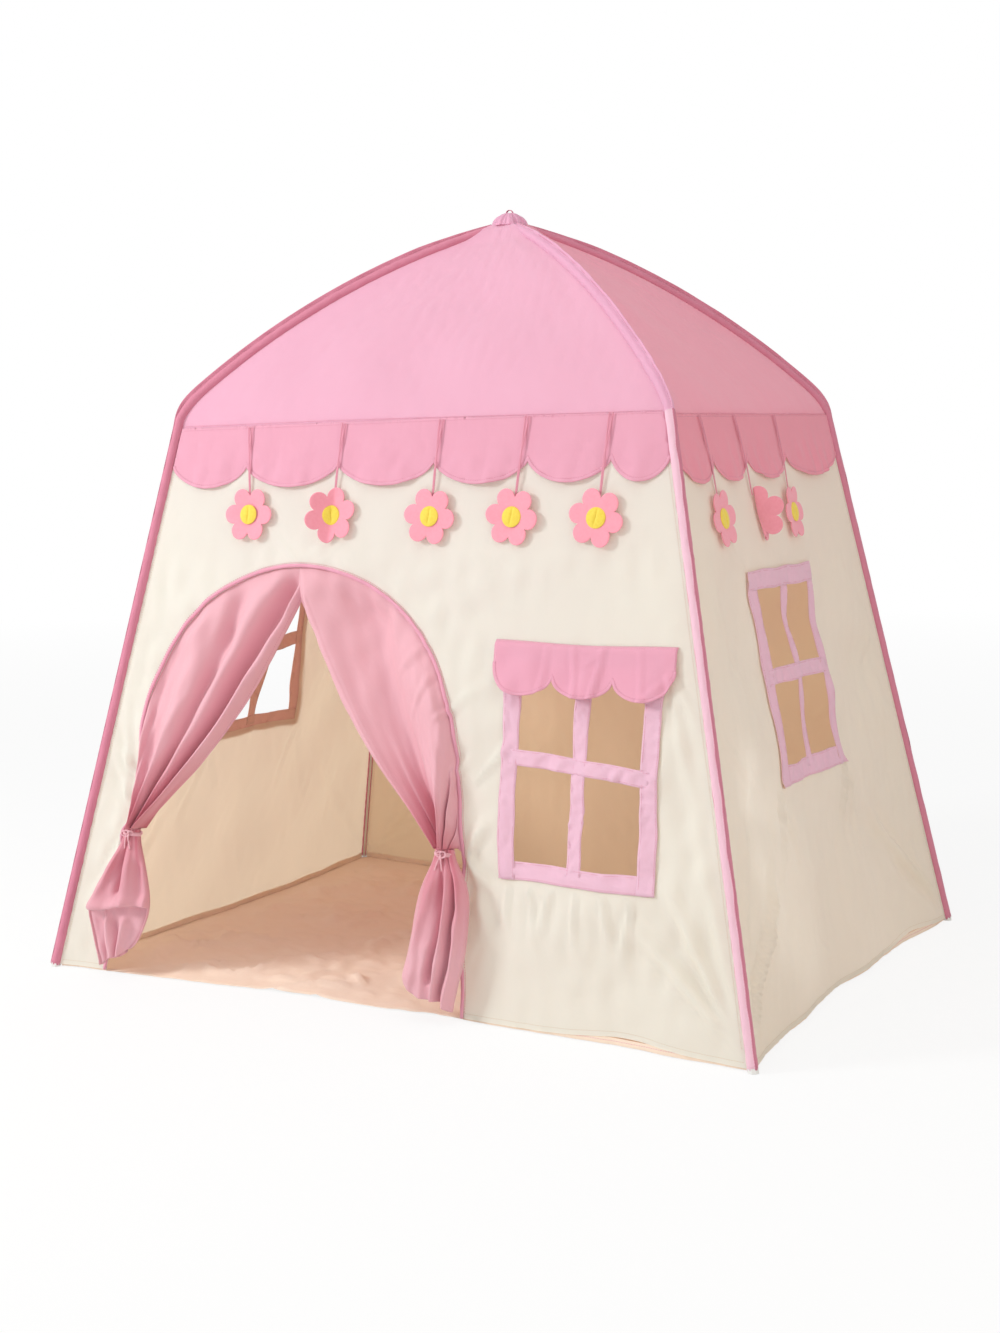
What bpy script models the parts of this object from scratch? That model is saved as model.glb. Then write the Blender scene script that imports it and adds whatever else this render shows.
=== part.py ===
"""Kids play tent: a bowed four-pole frame in a sewn fabric shelter, with tied door curtains,
three cross-barred windows, a window awning, a scalloped valance and hanging felt flowers.

Metres, +Z up. The origin is the middle of the floor on the ground, and the doorway faces -Y.
A place on a side of the shelter is given as u, along the side from its middle, to the right as
seen from outside, and v, up the cloth from the hem, over the eave and on towards the apex.
"""
import math
from bisect import bisect_right

import bmesh
import bpy
from mathutils import Matrix, Vector
from mathutils.geometry import delaunay_2d_cdt

# Overall size, between pole axes
BASE_WIDTH = 1.300
BASE_DEPTH = 1.000
EAVE_WIDTH = 0.906
EAVE_DEPTH = 0.697
EAVE_HEIGHT = 0.962
APEX_HEIGHT = 1.278
ROOF_BOW = 0.0375

# Clearances between pieces that touch
FIT_GAP = 0.0003
LAYER_GAP = 0.0005

# Poles and their fittings
POLE_RADIUS = 0.0075
POLE_WALL = 0.0012
POLE_SIDES = 8
SPIGOT_LENGTH = 0.035
FERRULE_BORE = 0.0045
LEG_JOINT_SHARE = 0.5
FOOT_RADIUS = 0.0088
FOOT_THICKNESS = 0.006
EAVE_ARM_LEG = 0.022
EAVE_ARM_ROOF = 0.045
ELBOW_SHOULDER = 0.004
EAVE_STEPS = 4
ROOF_STEPS = 6
HUB_RADIUS = 0.020
HUB_DROP = 0.012
HUB_RISE = 0.0100
HUB_CHAMFER = 0.004
HUB_SIDES = 16

# Pole sleeves sewn along the corners
SLEEVE_BORE = 0.0082
SLEEVE_RADIUS = 0.0092
SLEEVE_SIDES = 8
SLEEVE_OPENING_HALF_ANGLE = 18
FIN_THICKNESS = 0.002
FIN_LEG = 0.003
FIN_ROOF = 0.010
FIN_FADE_SHARE = 0.25
SLEEVE_END_AT_APEX = 0.030

# Cloth panels
CLOTH = 0.0015
TRIM = 0.0012
SEAM_HEIGHT = 0.945
HEM_LIFT = 0.002
FRONT_WALL_BOW = 0.035
SIDE_WALL_BOW = 0.028
BACK_WALL_BOW = 0.030
WALL_BOW_POWER = 1.5
ROOF_DIP = 0.010
WALL_STEP = 0.100
ROOF_COLUMNS = 6
FLOOR_STEP = 0.160
FLOOR_THICKNESS = 0.0015
FLOOR_CORNER_CUT = 0.018
HEM_POINTS = 8

# Cap and loop of cloth over the apex
CAP_RADIUS = 0.027
CAP_CLEARANCE = 0.0012
CAP_FALL = 0.006
CAP_SIDES = 24
LOOP_RADIUS = 0.0052
LOOP_THICKNESS = 0.0018
LOOP_RISE = 0.0042

# Scalloped valance under the eave
CUSP_HEIGHT = 0.880
SCALLOP_DROP = 0.038
SCALLOP_POINTS = 7
CUSP_SHARES = {
    "front": (-0.683, -0.280, 0.120, 0.490, 0.805),
    "right": (-0.640, -0.230, 0.270),
    "back": (-0.667, -0.333, 0.0, 0.333, 0.667),
    "left": (-0.270, 0.230, 0.640),
}

# Doorway arch: at the hem it takes the width between the left corner and the front window
DOOR_LEFT_MARGIN = 0.1065
DOOR_WINDOW_GAP = 0.0315
DOOR_TAPER = 0.105
DOOR_SPRING_HEIGHT = 0.400
DOOR_RISE = 0.309
DOOR_POINTS = 20
PIPING_RADIUS = 0.003
PIPING_SIDES = 6

# Door curtains, gathered to a tie on each side
CURTAIN_EDGE_GAP = 0.0012
CURTAIN_THICKNESS = 0.0010
CURTAIN_SPLIT_DROP = 0.050
CURTAIN_MEETING_GAP = 0.0015
LEFT_TIE_INSET = 0.0222
RIGHT_TIE_INSET = 0.0158
LEFT_TIE_HEIGHT = 0.254
RIGHT_TIE_HEIGHT = 0.272
GATHER_WIDTH = 0.024
GATHER_START = 0.012
FOLD_COUNT = 7
FOLD_DEPTH = 0.0075
FOLD_RAMP = 0.060
FOLD_COLUMNS = 35
FOLD_ROWS = 6
EDGE_SWAG = 0.022
TOP_SHARE = 0.90

# Curtain tails below the ties
NECK_HALF_WIDTH = 0.013
NECK_HALF_DEPTH = 0.009
NECK_LENGTH = 0.016
LEFT_TAIL_LENGTH = 0.236
RIGHT_TAIL_LENGTH = 0.250
LEFT_TAIL_HALF_WIDTH = 0.056
RIGHT_TAIL_HALF_WIDTH = 0.052
TAIL_HALF_DEPTH = 0.017
TAIL_REAR_LIFT = 0.0135
LEFT_TAIL_DRIFT = 0.028
RIGHT_TAIL_DRIFT = 0.014
TAIL_SIDES = 28
TAIL_FLUTES = 7
FLUTE_SHARE = 0.12
# Drop, width, depth and drift shares, from the neck down to the hem
TAIL_SHARES = {
    "left": (
        (0.12, 0.34, 0.62, 0.10),
        (0.30, 0.72, 0.88, 0.42),
        (0.52, 1.00, 1.00, 0.90),
        (0.72, 0.98, 0.98, 1.05),
        (0.88, 0.74, 0.86, 1.00),
        (1.00, 0.46, 0.60, 0.92),
    ),
    "right": (
        (0.12, 0.36, 0.62, 0.15),
        (0.30, 0.60, 0.86, 0.40),
        (0.52, 0.82, 0.98, 0.75),
        (0.74, 1.00, 1.00, 1.00),
        (0.90, 0.96, 0.94, 1.05),
        (1.00, 0.74, 0.72, 1.00),
    ),
}
TIE_CORD_RADIUS = 0.0022
TIE_TURN_POINTS = 12
TIE_CORD_SIDES = 6
KNOT_RADIUS = 0.0052
TIE_LOOP_RADIUS = 0.0085
TIE_LOOP_CORD = 0.0014

# Windows: foot and size of each sewn frame, and how far a side one stands towards the front
FRONT_WINDOW_SILL = 0.232
FRONT_WINDOW_WIDTH = 0.272
FRONT_WINDOW_HEIGHT = 0.366
SIDE_WINDOW_SILL = 0.358
SIDE_WINDOW_WIDTH = 0.290
SIDE_WINDOW_HEIGHT = 0.350
SIDE_WINDOW_SHIFT = 0.016
FRAME_STRIP = 0.025
BAR_STRIP = 0.020
FRAME_OVERLAP = 0.012
FRAME_STEP = 0.120

# Awning over the front window, which is centred under it
AWNING_WIDTH = 0.312
AWNING_MARGIN = 0.033
AWNING_RAISE = 0.005
AWNING_DROP = 0.056
AWNING_SCALLOP_DROP = 0.027
AWNING_SCALLOPS = 3
AWNING_LIFT = 0.0042
AWNING_FLARE = 0.012
AWNING_STEP = 0.030

# Hanging felt flowers
CHARM_TOP = 0.944
CHARM_DROP = 0.149
RIBBON_WIDTH = 0.0062
RIBBON_STRAND = 0.0016
RIBBON_THICKNESS = 0.0008
RIBBON_TUCK = 0.020
FELT = 0.0025
PETAL_COUNT = 6
PETAL_RADIUS = 0.0160
PETAL_CENTRE = 0.0305
PETAL_POINTS = 4
CENTRE_RADIUS = 0.0165
CENTRE_RIM = 0.0012
CENTRE_RISE = 0.0030
CENTRE_SIDES = 14
CENTRE_RINGS = 1
# Place of the ribbon's top as a share of the half eave, sideways lean and turn in degrees
CHARM_SHARES = {
    "front": (
        (-0.672, 3.5, -4),
        (-0.262, -5.0, 8),
        (0.142, -4.0, -3),
        (0.480, -6.0, -2),
        (0.795, -5.0, -8),
    ),
    "right": ((-0.720, 7.0, 2), (-0.310, 9.0, -14), (0.200, 4.0, -3)),
    "left": ((-0.200, -4.0, 3), (0.310, -6.0, 12), (0.720, -7.0, -2)),
}

# Step for the slopes of a cloth surface, the side of the least square kept in a cut piece,
# and the nearest that two points of a mesh may lie
SLOPE_STEP = 0.002
SLIVER_SIDE = 0.00063
MERGE_DISTANCE = 1e-7

PINK = (0.90, 0.47, 0.60)
DEEP_PINK = (0.88, 0.42, 0.55)
SLEEVE_PINK = (0.62, 0.20, 0.28)
CREAM = (0.87, 0.82, 0.72)
FLOOR_CREAM = (0.80, 0.64, 0.52)
FELT_PINK = (0.94, 0.38, 0.45)
RIBBON_PINK = (0.90, 0.62, 0.64)
CURTAIN_PINK = (0.85, 0.42, 0.50)
POLE_WHITE = (0.80, 0.80, 0.78)
FITTING_GREY = (0.55, 0.56, 0.58)

CORNERS = {
    "front_left": (-1, -1),
    "front_right": (1, -1),
    "back_right": (1, 1),
    "back_left": (-1, 1),
}
SIDES = {
    "front": ("front_left", "front_right"),
    "right": ("front_right", "back_right"),
    "back": ("back_right", "back_left"),
    "left": ("back_left", "front_left"),
}
WALL_BOW = {
    "front": FRONT_WALL_BOW,
    "right": SIDE_WALL_BOW,
    "back": BACK_WALL_BOW,
    "left": SIDE_WALL_BOW,
}
WINDOW_SILL = {"front": FRONT_WINDOW_SILL, "right": SIDE_WINDOW_SILL, "left": SIDE_WINDOW_SILL}
WINDOW_WIDTH = {"front": FRONT_WINDOW_WIDTH, "right": SIDE_WINDOW_WIDTH, "left": SIDE_WINDOW_WIDTH}
WINDOW_HEIGHT = {
    "front": FRONT_WINDOW_HEIGHT,
    "right": SIDE_WINDOW_HEIGHT,
    "left": SIDE_WINDOW_HEIGHT,
}
HANDS = {"left": -1, "right": 1}
TIE_INSET = {"left": LEFT_TIE_INSET, "right": RIGHT_TIE_INSET}
TIE_HEIGHT = {"left": LEFT_TIE_HEIGHT, "right": RIGHT_TIE_HEIGHT}
TAIL_LENGTH = {"left": LEFT_TAIL_LENGTH, "right": RIGHT_TAIL_LENGTH}
TAIL_HALF_WIDTH = {"left": LEFT_TAIL_HALF_WIDTH, "right": RIGHT_TAIL_HALF_WIDTH}
TAIL_DRIFT = {"left": LEFT_TAIL_DRIFT, "right": RIGHT_TAIL_DRIFT}
UP = Vector((0, 0, 1))


# Corner lines: each runs up a leg, round the eave and along a bowed roof pole to the apex
def foot_point(corner):
    sx, sy = CORNERS[corner]
    return Vector((sx * BASE_WIDTH / 2, sy * BASE_DEPTH / 2, 0))


def eave_point(corner):
    sx, sy = CORNERS[corner]
    return Vector((sx * EAVE_WIDTH / 2, sy * EAVE_DEPTH / 2, EAVE_HEIGHT))


def apex_point():
    return Vector((0, 0, APEX_HEIGHT))


def leg_length():
    return (eave_point("front_right") - foot_point("front_right")).length


def roof_length():
    return (apex_point() - eave_point("front_right")).length


def bowed_roof_point(corner, share):
    """Point of a roof pole's axis, a share of the way from the eave to the apex."""
    eave = eave_point(corner)
    chord = apex_point() - eave
    along = chord.normalized()
    rise = (UP - along * UP.dot(along)).normalized()
    return eave + chord * share + rise * (4 * ROOF_BOW * share * (1 - share))


def corner_knots(corner):
    """Knots of a corner line: 0 at the foot, 1 at the eave, 2 at the apex."""
    eave = eave_point(corner)
    before = 1 - EAVE_ARM_LEG / leg_length()
    after = 1 + EAVE_ARM_ROOF / roof_length()
    low = foot_point(corner).lerp(eave, before)
    high = bowed_roof_point(corner, after - 1)
    knots = [(0.0, foot_point(corner))]
    for step in range(EAVE_STEPS + 1):
        share = step / EAVE_STEPS
        bend = low.lerp(eave, share).lerp(eave.lerp(high, share), share)
        knots.append((before + (after - before) * share, bend))
    for step in range(1, ROOF_STEPS + 1):
        place = after + (2 - after) * step / ROOF_STEPS
        knots.append((place, bowed_roof_point(corner, place - 1)))
    return knots


KNOTS = {corner: corner_knots(corner) for corner in CORNERS}


def corner_point(corner, place):
    knots = KNOTS[corner]
    index = min(max(bisect_right([knot[0] for knot in knots], place), 1), len(knots) - 1)
    (start, low), (stop, high) = knots[index - 1], knots[index]
    return low.lerp(high, (place - start) / (stop - start))


def corner_run(corner, start, stop):
    """Places and points of a corner line from one place to another."""
    inner = [place for place, point in KNOTS[corner] if start < place < stop]
    places = [start] + inner + [stop]
    return [(place, corner_point(corner, place)) for place in places]


def leg_place(distance):
    return distance / leg_length()


def roof_place(distance_from_apex):
    return 2 - distance_from_apex / roof_length()


# Cloth surface of each side, ruled between two corner lines and drawn in between them
def outward(side):
    left, right = (foot_point(corner) for corner in SIDES[side])
    return (right - left).cross(UP).normalized()


def wall_slope(side):
    left, right = SIDES[side]
    low = (foot_point(left) + foot_point(right)) / 2
    high = (eave_point(left) + eave_point(right)) / 2
    return (high - low).length


def roof_slope(side):
    left, right = SIDES[side]
    return (apex_point() - (eave_point(left) + eave_point(right)) / 2).length


def side_place(side, v):
    slope = wall_slope(side)
    if v <= slope:
        return v / slope
    return 1 + (v - slope) / roof_slope(side)


def side_height(side, place):
    if place <= 1:
        return place * wall_slope(side)
    return wall_slope(side) + (place - 1) * roof_slope(side)


def half_width(side, v):
    left, right = (corner_point(corner, side_place(side, v)) for corner in SIDES[side])
    return (right - left).length / 2


def bare_point(side, u, v):
    """Point on the middle of the cloth of a side."""
    place = side_place(side, v)
    left, right = (corner_point(corner, place) for corner in SIDES[side])
    across = (right - left).normalized()
    share = min(abs(u) * 2 / (right - left).length, 1)
    point = (left + right) / 2 + across * u
    if place < 1:
        bow = WALL_BOW[side] * (1 - share ** 2) * (1 - max(place, 0)) ** WALL_BOW_POWER
        return point - outward(side) * bow
    dip = ROOF_DIP * (1 - share ** 2) * math.sin(math.pi * min(place - 1, 1))
    return point - UP * dip


def side_axes(side, u, v):
    """Directions along the side, up the cloth and out of it."""
    along = bare_point(side, u + SLOPE_STEP, v) - bare_point(side, u - SLOPE_STEP, v)
    rising = bare_point(side, u, v + SLOPE_STEP) - bare_point(side, u, v - SLOPE_STEP)
    normal = along.cross(rising).normalized()
    along = along.normalized()
    return along, normal.cross(along), normal


def side_point(side, u, v, lift):
    return bare_point(side, u, v) + side_axes(side, u, v)[2] * lift


def edge_reach(side, v):
    """Half width of the cloth between the corner sleeves."""
    spread = (half_width(side, v + SLOPE_STEP) - half_width(side, v - SLOPE_STEP)) / (2 * SLOPE_STEP)
    return half_width(side, v) - (SLEEVE_RADIUS + FIT_GAP) * math.hypot(1, spread)


def hung_frame(side, u, v, lift):
    """Frame on a side of the shelter: X along the side, Y up the cloth, Z out of it."""
    along, rising, normal = side_axes(side, u, v)
    turn = Matrix((along, rising, normal)).transposed().to_4x4()
    return Matrix.Translation(side_point(side, u, v, lift)) @ turn


# Mesh helpers
def finish(name, colour, roughness=0.9, metallic=0.0):
    material = bpy.data.materials.new(name + "_finish")
    material.use_nodes = True
    shader = material.node_tree.nodes["Principled BSDF"]
    shader.inputs["Base Color"].default_value = (*colour, 1)
    shader.inputs["Roughness"].default_value = roughness
    shader.inputs["Metallic"].default_value = metallic
    return material


def add_object(name, mesh, colour, roughness=0.9, matrix=None):
    mesh.name = name
    mesh.materials.clear()
    mesh.materials.append(finish(name, colour, roughness))
    item = bpy.data.objects.new(name, mesh)
    bpy.context.scene.collection.objects.link(item)
    if matrix is not None:
        item.matrix_world = matrix
    return item


def closed_mesh(bm):
    bmesh.ops.remove_doubles(bm, verts=bm.verts, dist=MERGE_DISTANCE)
    bmesh.ops.recalc_face_normals(bm, faces=bm.faces)
    mesh = bpy.data.meshes.new("piece")
    bm.to_mesh(mesh)
    bm.free()
    return mesh


def smooth(item, degrees=40):
    item.data.shade_smooth()
    item.data.set_sharp_from_angle(angle=math.radians(degrees))
    return item


def skin(bm, rings, closed=False):
    """Faces between rings of points, which meet again when closed and are capped otherwise."""
    loops = [[bm.verts.new(point) for point in ring] for ring in rings]
    pairs = list(zip(loops, loops[1:]))
    if closed:
        pairs.append((loops[-1], loops[0]))
    for low, high in pairs:
        for index in range(len(low)):
            follow = (index + 1) % len(low)
            bm.faces.new((low[index], low[follow], high[follow], high[index]))
    if not closed:
        bm.faces.new(list(reversed(loops[0])))
        bm.faces.new(loops[-1])


def circle(radius, sides, radius_across=None):
    wide = radius if radius_across is None else radius_across
    turns = [2 * math.pi * index / sides for index in range(sides)]
    return [(radius * math.cos(turn), wide * math.sin(turn)) for turn in turns]


def tangents(points, closed=False):
    count = len(points)
    result = []
    for index in range(count):
        before = points[index - 1] if index or closed else points[0]
        after = points[(index + 1) % count] if index < count - 1 or closed else points[-1]
        result.append((after - before).normalized())
    return result


def swept_rings(points, sections, across, closed=False):
    """Section outlines laid square to a run, with their second axis kept near across."""
    rings = []
    for point, along, section in zip(points, tangents(points, closed), sections):
        out = across.cross(along).normalized()
        beside = along.cross(out)
        rings.append([point + out * x + beside * y for x, y in section])
    return rings


def corner_across(corner):
    return UP.cross(foot_point(corner)).normalized()


def cut_pattern(outline, holes, step):
    """Flat cut piece: points and triangles inside an outline and outside its holes."""
    loops = [outline] + list(holes)
    points = []
    edges = []
    for loop in loops:
        first = len(points)
        for (ua, va), (ub, vb) in zip(loop, loop[1:] + loop[:1]):
            parts = max(1, math.ceil(math.hypot(ub - ua, vb - va) / step))
            for part in range(parts):
                share = part / parts
                points.append((ua + (ub - ua) * share, va + (vb - va) * share))
        last = len(points) - 1
        edges += [(index, index + 1) for index in range(first, last)] + [(last, first)]
    rim = list(points)
    low_u, high_u = min(p[0] for p in outline), max(p[0] for p in outline)
    low_v, high_v = min(p[1] for p in outline), max(p[1] for p in outline)
    columns = max(1, round((high_u - low_u) / step))
    rows = max(1, round((high_v - low_v) / step))
    for column in range(1, columns):
        for row in range(1, rows):
            u = low_u + (high_u - low_u) * column / columns
            v = low_v + (high_v - low_v) * row / rows
            clear = all(math.hypot(u - a, v - b) > step / 2 for a, b in rim)
            if clear and on_cloth(u, v, loops):
                points.append((u, v))
    flat = [Vector(point) for point in points]
    found = delaunay_2d_cdt(flat, edges, [], 0, MERGE_DISTANCE)
    triangles = []
    for face in found[2]:
        corners = [found[0][index] for index in face]
        middle = sum(corners, Vector((0, 0))) / len(corners)
        if not on_cloth(middle.x, middle.y, loops):
            continue
        turn = (corners[1] - corners[0]).cross(corners[2] - corners[0])
        if abs(turn) < SLIVER_SIDE ** 2:
            continue
        triangles.append(tuple(face) if turn > 0 else tuple(reversed(face)))
    return [tuple(point) for point in found[0]], triangles


def on_cloth(u, v, loops):
    inside = False
    for loop in loops:
        for (ua, va), (ub, vb) in zip(loop, loop[1:] + loop[:1]):
            if (va > v) != (vb > v) and u < ua + (ub - ua) * (v - va) / (vb - va):
                inside = not inside
    return inside


def thick_cloth(pattern, place, thickness):
    """Closed sheet: the cut pattern placed twice, a thickness apart, with its edges joined."""
    points, triangles = pattern
    bm = bmesh.new()
    back = [bm.verts.new(place(u, v, 0)) for u, v in points]
    front = [bm.verts.new(place(u, v, thickness)) for u, v in points]
    sides = {}
    for face in triangles:
        bm.faces.new([front[index] for index in face])
        bm.faces.new([back[index] for index in reversed(face)])
        for a, b in zip(face, face[1:] + face[:1]):
            sides[(a, b)] = sides.get((a, b), 0) + 1
    for a, b in sides:
        if (b, a) not in sides:
            bm.faces.new((front[b], front[a], back[a], back[b]))
    loose = [vert for vert in bm.verts if not vert.link_faces]
    bmesh.ops.delete(bm, geom=loose, context="VERTS")
    return closed_mesh(bm)


def grid_cloth(columns, rows, place, thickness):
    """Closed sheet on a grid, where place takes a column share, a row share and a lift."""
    points = []
    for row in range(rows + 1):
        for column in range(columns + 1):
            points.append((column / columns, row / rows))
    triangles = []
    wide = columns + 1
    for row in range(rows):
        for column in range(columns):
            a = row * wide + column
            triangles += [(a, a + 1, a + wide + 1), (a, a + wide + 1, a + wide)]
    return thick_cloth((points, triangles), place, thickness)


# Frame: poles, spigots and fittings
def hollow_pole(name, corner, start, stop):
    run = corner_run(corner, start, stop)
    points = [point for place, point in run]
    across = corner_across(corner)
    outer = [circle(POLE_RADIUS, POLE_SIDES)] * len(points)
    inner = [circle(POLE_RADIUS - POLE_WALL, POLE_SIDES)] * len(points)
    rings = swept_rings(points, outer, across)
    rings += reversed(swept_rings(points, inner, across))
    bm = bmesh.new()
    skin(bm, rings, closed=True)
    return smooth(add_object(name, closed_mesh(bm), POLE_WHITE, 0.45))


def spigot_radius():
    return POLE_RADIUS - POLE_WALL - FIT_GAP


def stepped_rings(corner, start, collar_start, collar_stop, stop):
    """Rings of a rod that fills the bores on both sides of a collar of full pole size."""
    across = corner_across(corner)
    thin = circle(spigot_radius(), POLE_SIDES)
    full = circle(POLE_RADIUS, POLE_SIDES)
    rings = []
    for low, high, section in (
        (start, collar_start, thin),
        (collar_start, collar_stop, full),
        (collar_stop, stop, thin),
    ):
        points = [point for place, point in corner_run(corner, low, high)]
        rings += swept_rings(points, [section] * len(points), across)
    return rings


def eave_limits():
    return 1 - EAVE_ARM_LEG / leg_length(), 1 + EAVE_ARM_ROOF / roof_length()


def lower_leg(name, corner, joint):
    """Lower leg section: a tube with a moulded foot cut level and a ferrule in its upper end."""
    across = corner_across(corner)
    foot = foot_point(corner)
    along = (eave_point(corner) - foot).normalized()
    tube_bore = POLE_RADIUS - POLE_WALL
    top = joint * leg_length()
    profile = (
        (FOOT_RADIUS, FOOT_THICKNESS),
        (POLE_RADIUS, FOOT_THICKNESS),
        (POLE_RADIUS, top),
        (spigot_radius(), top),
        (spigot_radius(), top + SPIGOT_LENGTH),
        (FERRULE_BORE, top + SPIGOT_LENGTH),
        (FERRULE_BORE, top - SPIGOT_LENGTH),
        (tube_bore, top - SPIGOT_LENGTH),
        (tube_bore, FOOT_THICKNESS + SPIGOT_LENGTH),
    )
    out = across.cross(along).normalized()
    rings = []
    for radius, height in profile:
        middle = foot + along * height
        rings.append([middle + out * x + across * y for x, y in circle(radius, POLE_SIDES)])
    sole = [point - along * (point.z / along.z) for point in rings[0]]
    bm = bmesh.new()
    skin(bm, [sole] + rings)
    smooth(add_object(name, closed_mesh(bm), POLE_WHITE, 0.45))


def elbow_limits():
    """Places where an eave elbow's collar meets the leg and the roof pole."""
    start, stop = eave_limits()
    return start - leg_place(ELBOW_SHOULDER), stop + ELBOW_SHOULDER / roof_length()


def build_poles():
    joint = leg_place(leg_length() * LEG_JOINT_SHARE)
    gap = leg_place(FIT_GAP)
    bend_start, bend_stop = elbow_limits()
    hub = roof_place(HUB_RADIUS + FIT_GAP)
    for corner in CORNERS:
        lower_leg("leg_pole_lower_" + corner, corner, joint)
        hollow_pole("leg_pole_upper_" + corner, corner, joint + gap, bend_start - gap)
        hollow_pole("roof_pole_" + corner, corner, bend_stop + gap, hub)


def build_eave_elbows():
    bend_start, bend_stop = elbow_limits()
    for corner in CORNERS:
        bm = bmesh.new()
        start = bend_start - leg_place(SPIGOT_LENGTH)
        stop = bend_stop + SPIGOT_LENGTH / roof_length()
        skin(bm, stepped_rings(corner, start, bend_start, bend_stop, stop))
        smooth(add_object("eave_elbow_" + corner, closed_mesh(bm), FITTING_GREY, 0.5))


def turned(profile, sides, base):
    """Rings of a profile of radius and height turned about the vertical through base."""
    rings = []
    for radius, height in profile:
        rings.append([base + Vector((x, y, height)) for x, y in circle(radius, sides)])
    return rings


def build_apex_hub():
    body = bmesh.new()
    profile = (
        (HUB_RADIUS - HUB_CHAMFER, -HUB_DROP),
        (HUB_RADIUS, HUB_CHAMFER - HUB_DROP),
        (HUB_RADIUS, HUB_RISE - HUB_CHAMFER),
        (HUB_RADIUS - HUB_CHAMFER, HUB_RISE),
    )
    skin(body, turned(profile, HUB_SIDES, apex_point()))
    hub = smooth(add_object("apex_hub", closed_mesh(body), FITTING_GREY, 0.5))
    for corner in CORNERS:
        arm = bmesh.new()
        start = roof_place(HUB_RADIUS + SPIGOT_LENGTH)
        stop = roof_place(HUB_RADIUS / 2)
        points = [point for place, point in corner_run(corner, start, stop)]
        section = [circle(spigot_radius(), POLE_SIDES)] * len(points)
        skin(arm, swept_rings(points, section, corner_across(corner)))
        join_solid(hub, add_object("hub_arm_" + corner, closed_mesh(arm), FITTING_GREY))


def join_solid(target, guide):
    """Boolean union of a guide solid into its target."""
    guide.hide_render = True
    guide.display_type = "WIRE"
    union = target.modifiers.new("join_" + guide.name, "BOOLEAN")
    union.operation = "UNION"
    union.solver = "EXACT"
    union.object = guide


# Corner sleeves
def sleeve_sections(fin):
    """Outline of a sleeve with its sewn fin pointing out of the corner, and its bore."""
    first = math.radians(SLEEVE_OPENING_HALF_ANGLE)
    outer = []
    bore = []
    for index in range(SLEEVE_SIDES + 1):
        turn = first + (2 * math.pi - 2 * first) * index / SLEEVE_SIDES
        outer.append((SLEEVE_RADIUS * math.cos(turn), SLEEVE_RADIUS * math.sin(turn)))
        bore.append((SLEEVE_BORE * math.cos(turn), SLEEVE_BORE * math.sin(turn)))
    for sign in (-1, 1):
        outer.append((SLEEVE_RADIUS + fin, sign * FIN_THICKNESS / 2))
        bore.append((SLEEVE_BORE, sign * FIN_THICKNESS / 2))
    return outer, bore


def fin_length(place, stop):
    """The fin is narrow on the legs, wide on the roof, and dies away towards the apex."""
    low, high = eave_limits()
    grown = min(max((place - low) / (high - low), 0), 1)
    fading = min(max((stop - place) / (stop - high) / FIN_FADE_SHARE, 0), 1)
    return FIN_LEG + (FIN_ROOF - FIN_LEG) * grown * fading


def build_corner_sleeves():
    start = leg_place(FOOT_THICKNESS + FIT_GAP)
    stop = roof_place(SLEEVE_END_AT_APEX)
    for corner in CORNERS:
        run = corner_run(corner, start, stop)
        points = [point for place, point in run]
        pairs = [sleeve_sections(fin_length(place, stop)) for place, point in run]
        across = corner_across(corner)
        rings = swept_rings(points, [pair[0] for pair in pairs], across)
        rings += reversed(swept_rings(points, [pair[1] for pair in pairs], across))
        bm = bmesh.new()
        skin(bm, rings, closed=True)
        smooth(add_object("corner_sleeve_" + corner, closed_mesh(bm), SLEEVE_PINK))


# Cloth shelter
def door_feet():
    """Left and right ends of the doorway at the hem."""
    return DOOR_LEFT_MARGIN - BASE_WIDTH / 2, window_box("front", 0)[0] - DOOR_WINDOW_GAP


def door_centre():
    return sum(door_feet()) / 2


def door_spring():
    """Half the doorway's width where its arch springs."""
    left, right = door_feet()
    return (right - left - DOOR_TAPER) / 2


def door_half_width(v):
    spring = door_spring()
    if v < DOOR_SPRING_HEIGHT:
        return spring + DOOR_TAPER / 2 * (1 - v / DOOR_SPRING_HEIGHT)
    return spring * math.sqrt(max(1 - ((v - DOOR_SPRING_HEIGHT) / DOOR_RISE) ** 2, 0))


def door_arch(inset, low):
    """Doorway outline from its left foot over the arch to its right foot."""
    spring = door_spring() - inset
    points = [(door_centre() - door_half_width(low) + inset, low)]
    for index in range(DOOR_POINTS + 1):
        turn = math.pi * (1 - index / DOOR_POINTS)
        u = door_centre() + spring * math.cos(turn)
        points.append((u, DOOR_SPRING_HEIGHT + (DOOR_RISE - inset) * math.sin(turn)))
    points.append((door_centre() + door_half_width(low) - inset, low))
    return points


def window_middle(side):
    """Side windows stand a little towards the front, and the front one under its awning."""
    if side == "front":
        return half_width(side, awning_top()) - AWNING_MARGIN - AWNING_WIDTH / 2
    return -SIDE_WINDOW_SHIFT if side == "right" else SIDE_WINDOW_SHIFT


def window_box(side, inset):
    middle = window_middle(side)
    half = WINDOW_WIDTH[side] / 2 - inset
    low = WINDOW_SILL[side] + inset
    high = WINDOW_SILL[side] + WINDOW_HEIGHT[side] - inset
    return middle - half, middle + half, low, high


def rectangle(left, right, low, high):
    return [(left, low), (right, low), (right, high), (left, high)]


def wall_cloth(side, lift):
    def place(u, v, extra):
        return side_point(side, u, v, lift + extra)

    return place


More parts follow.
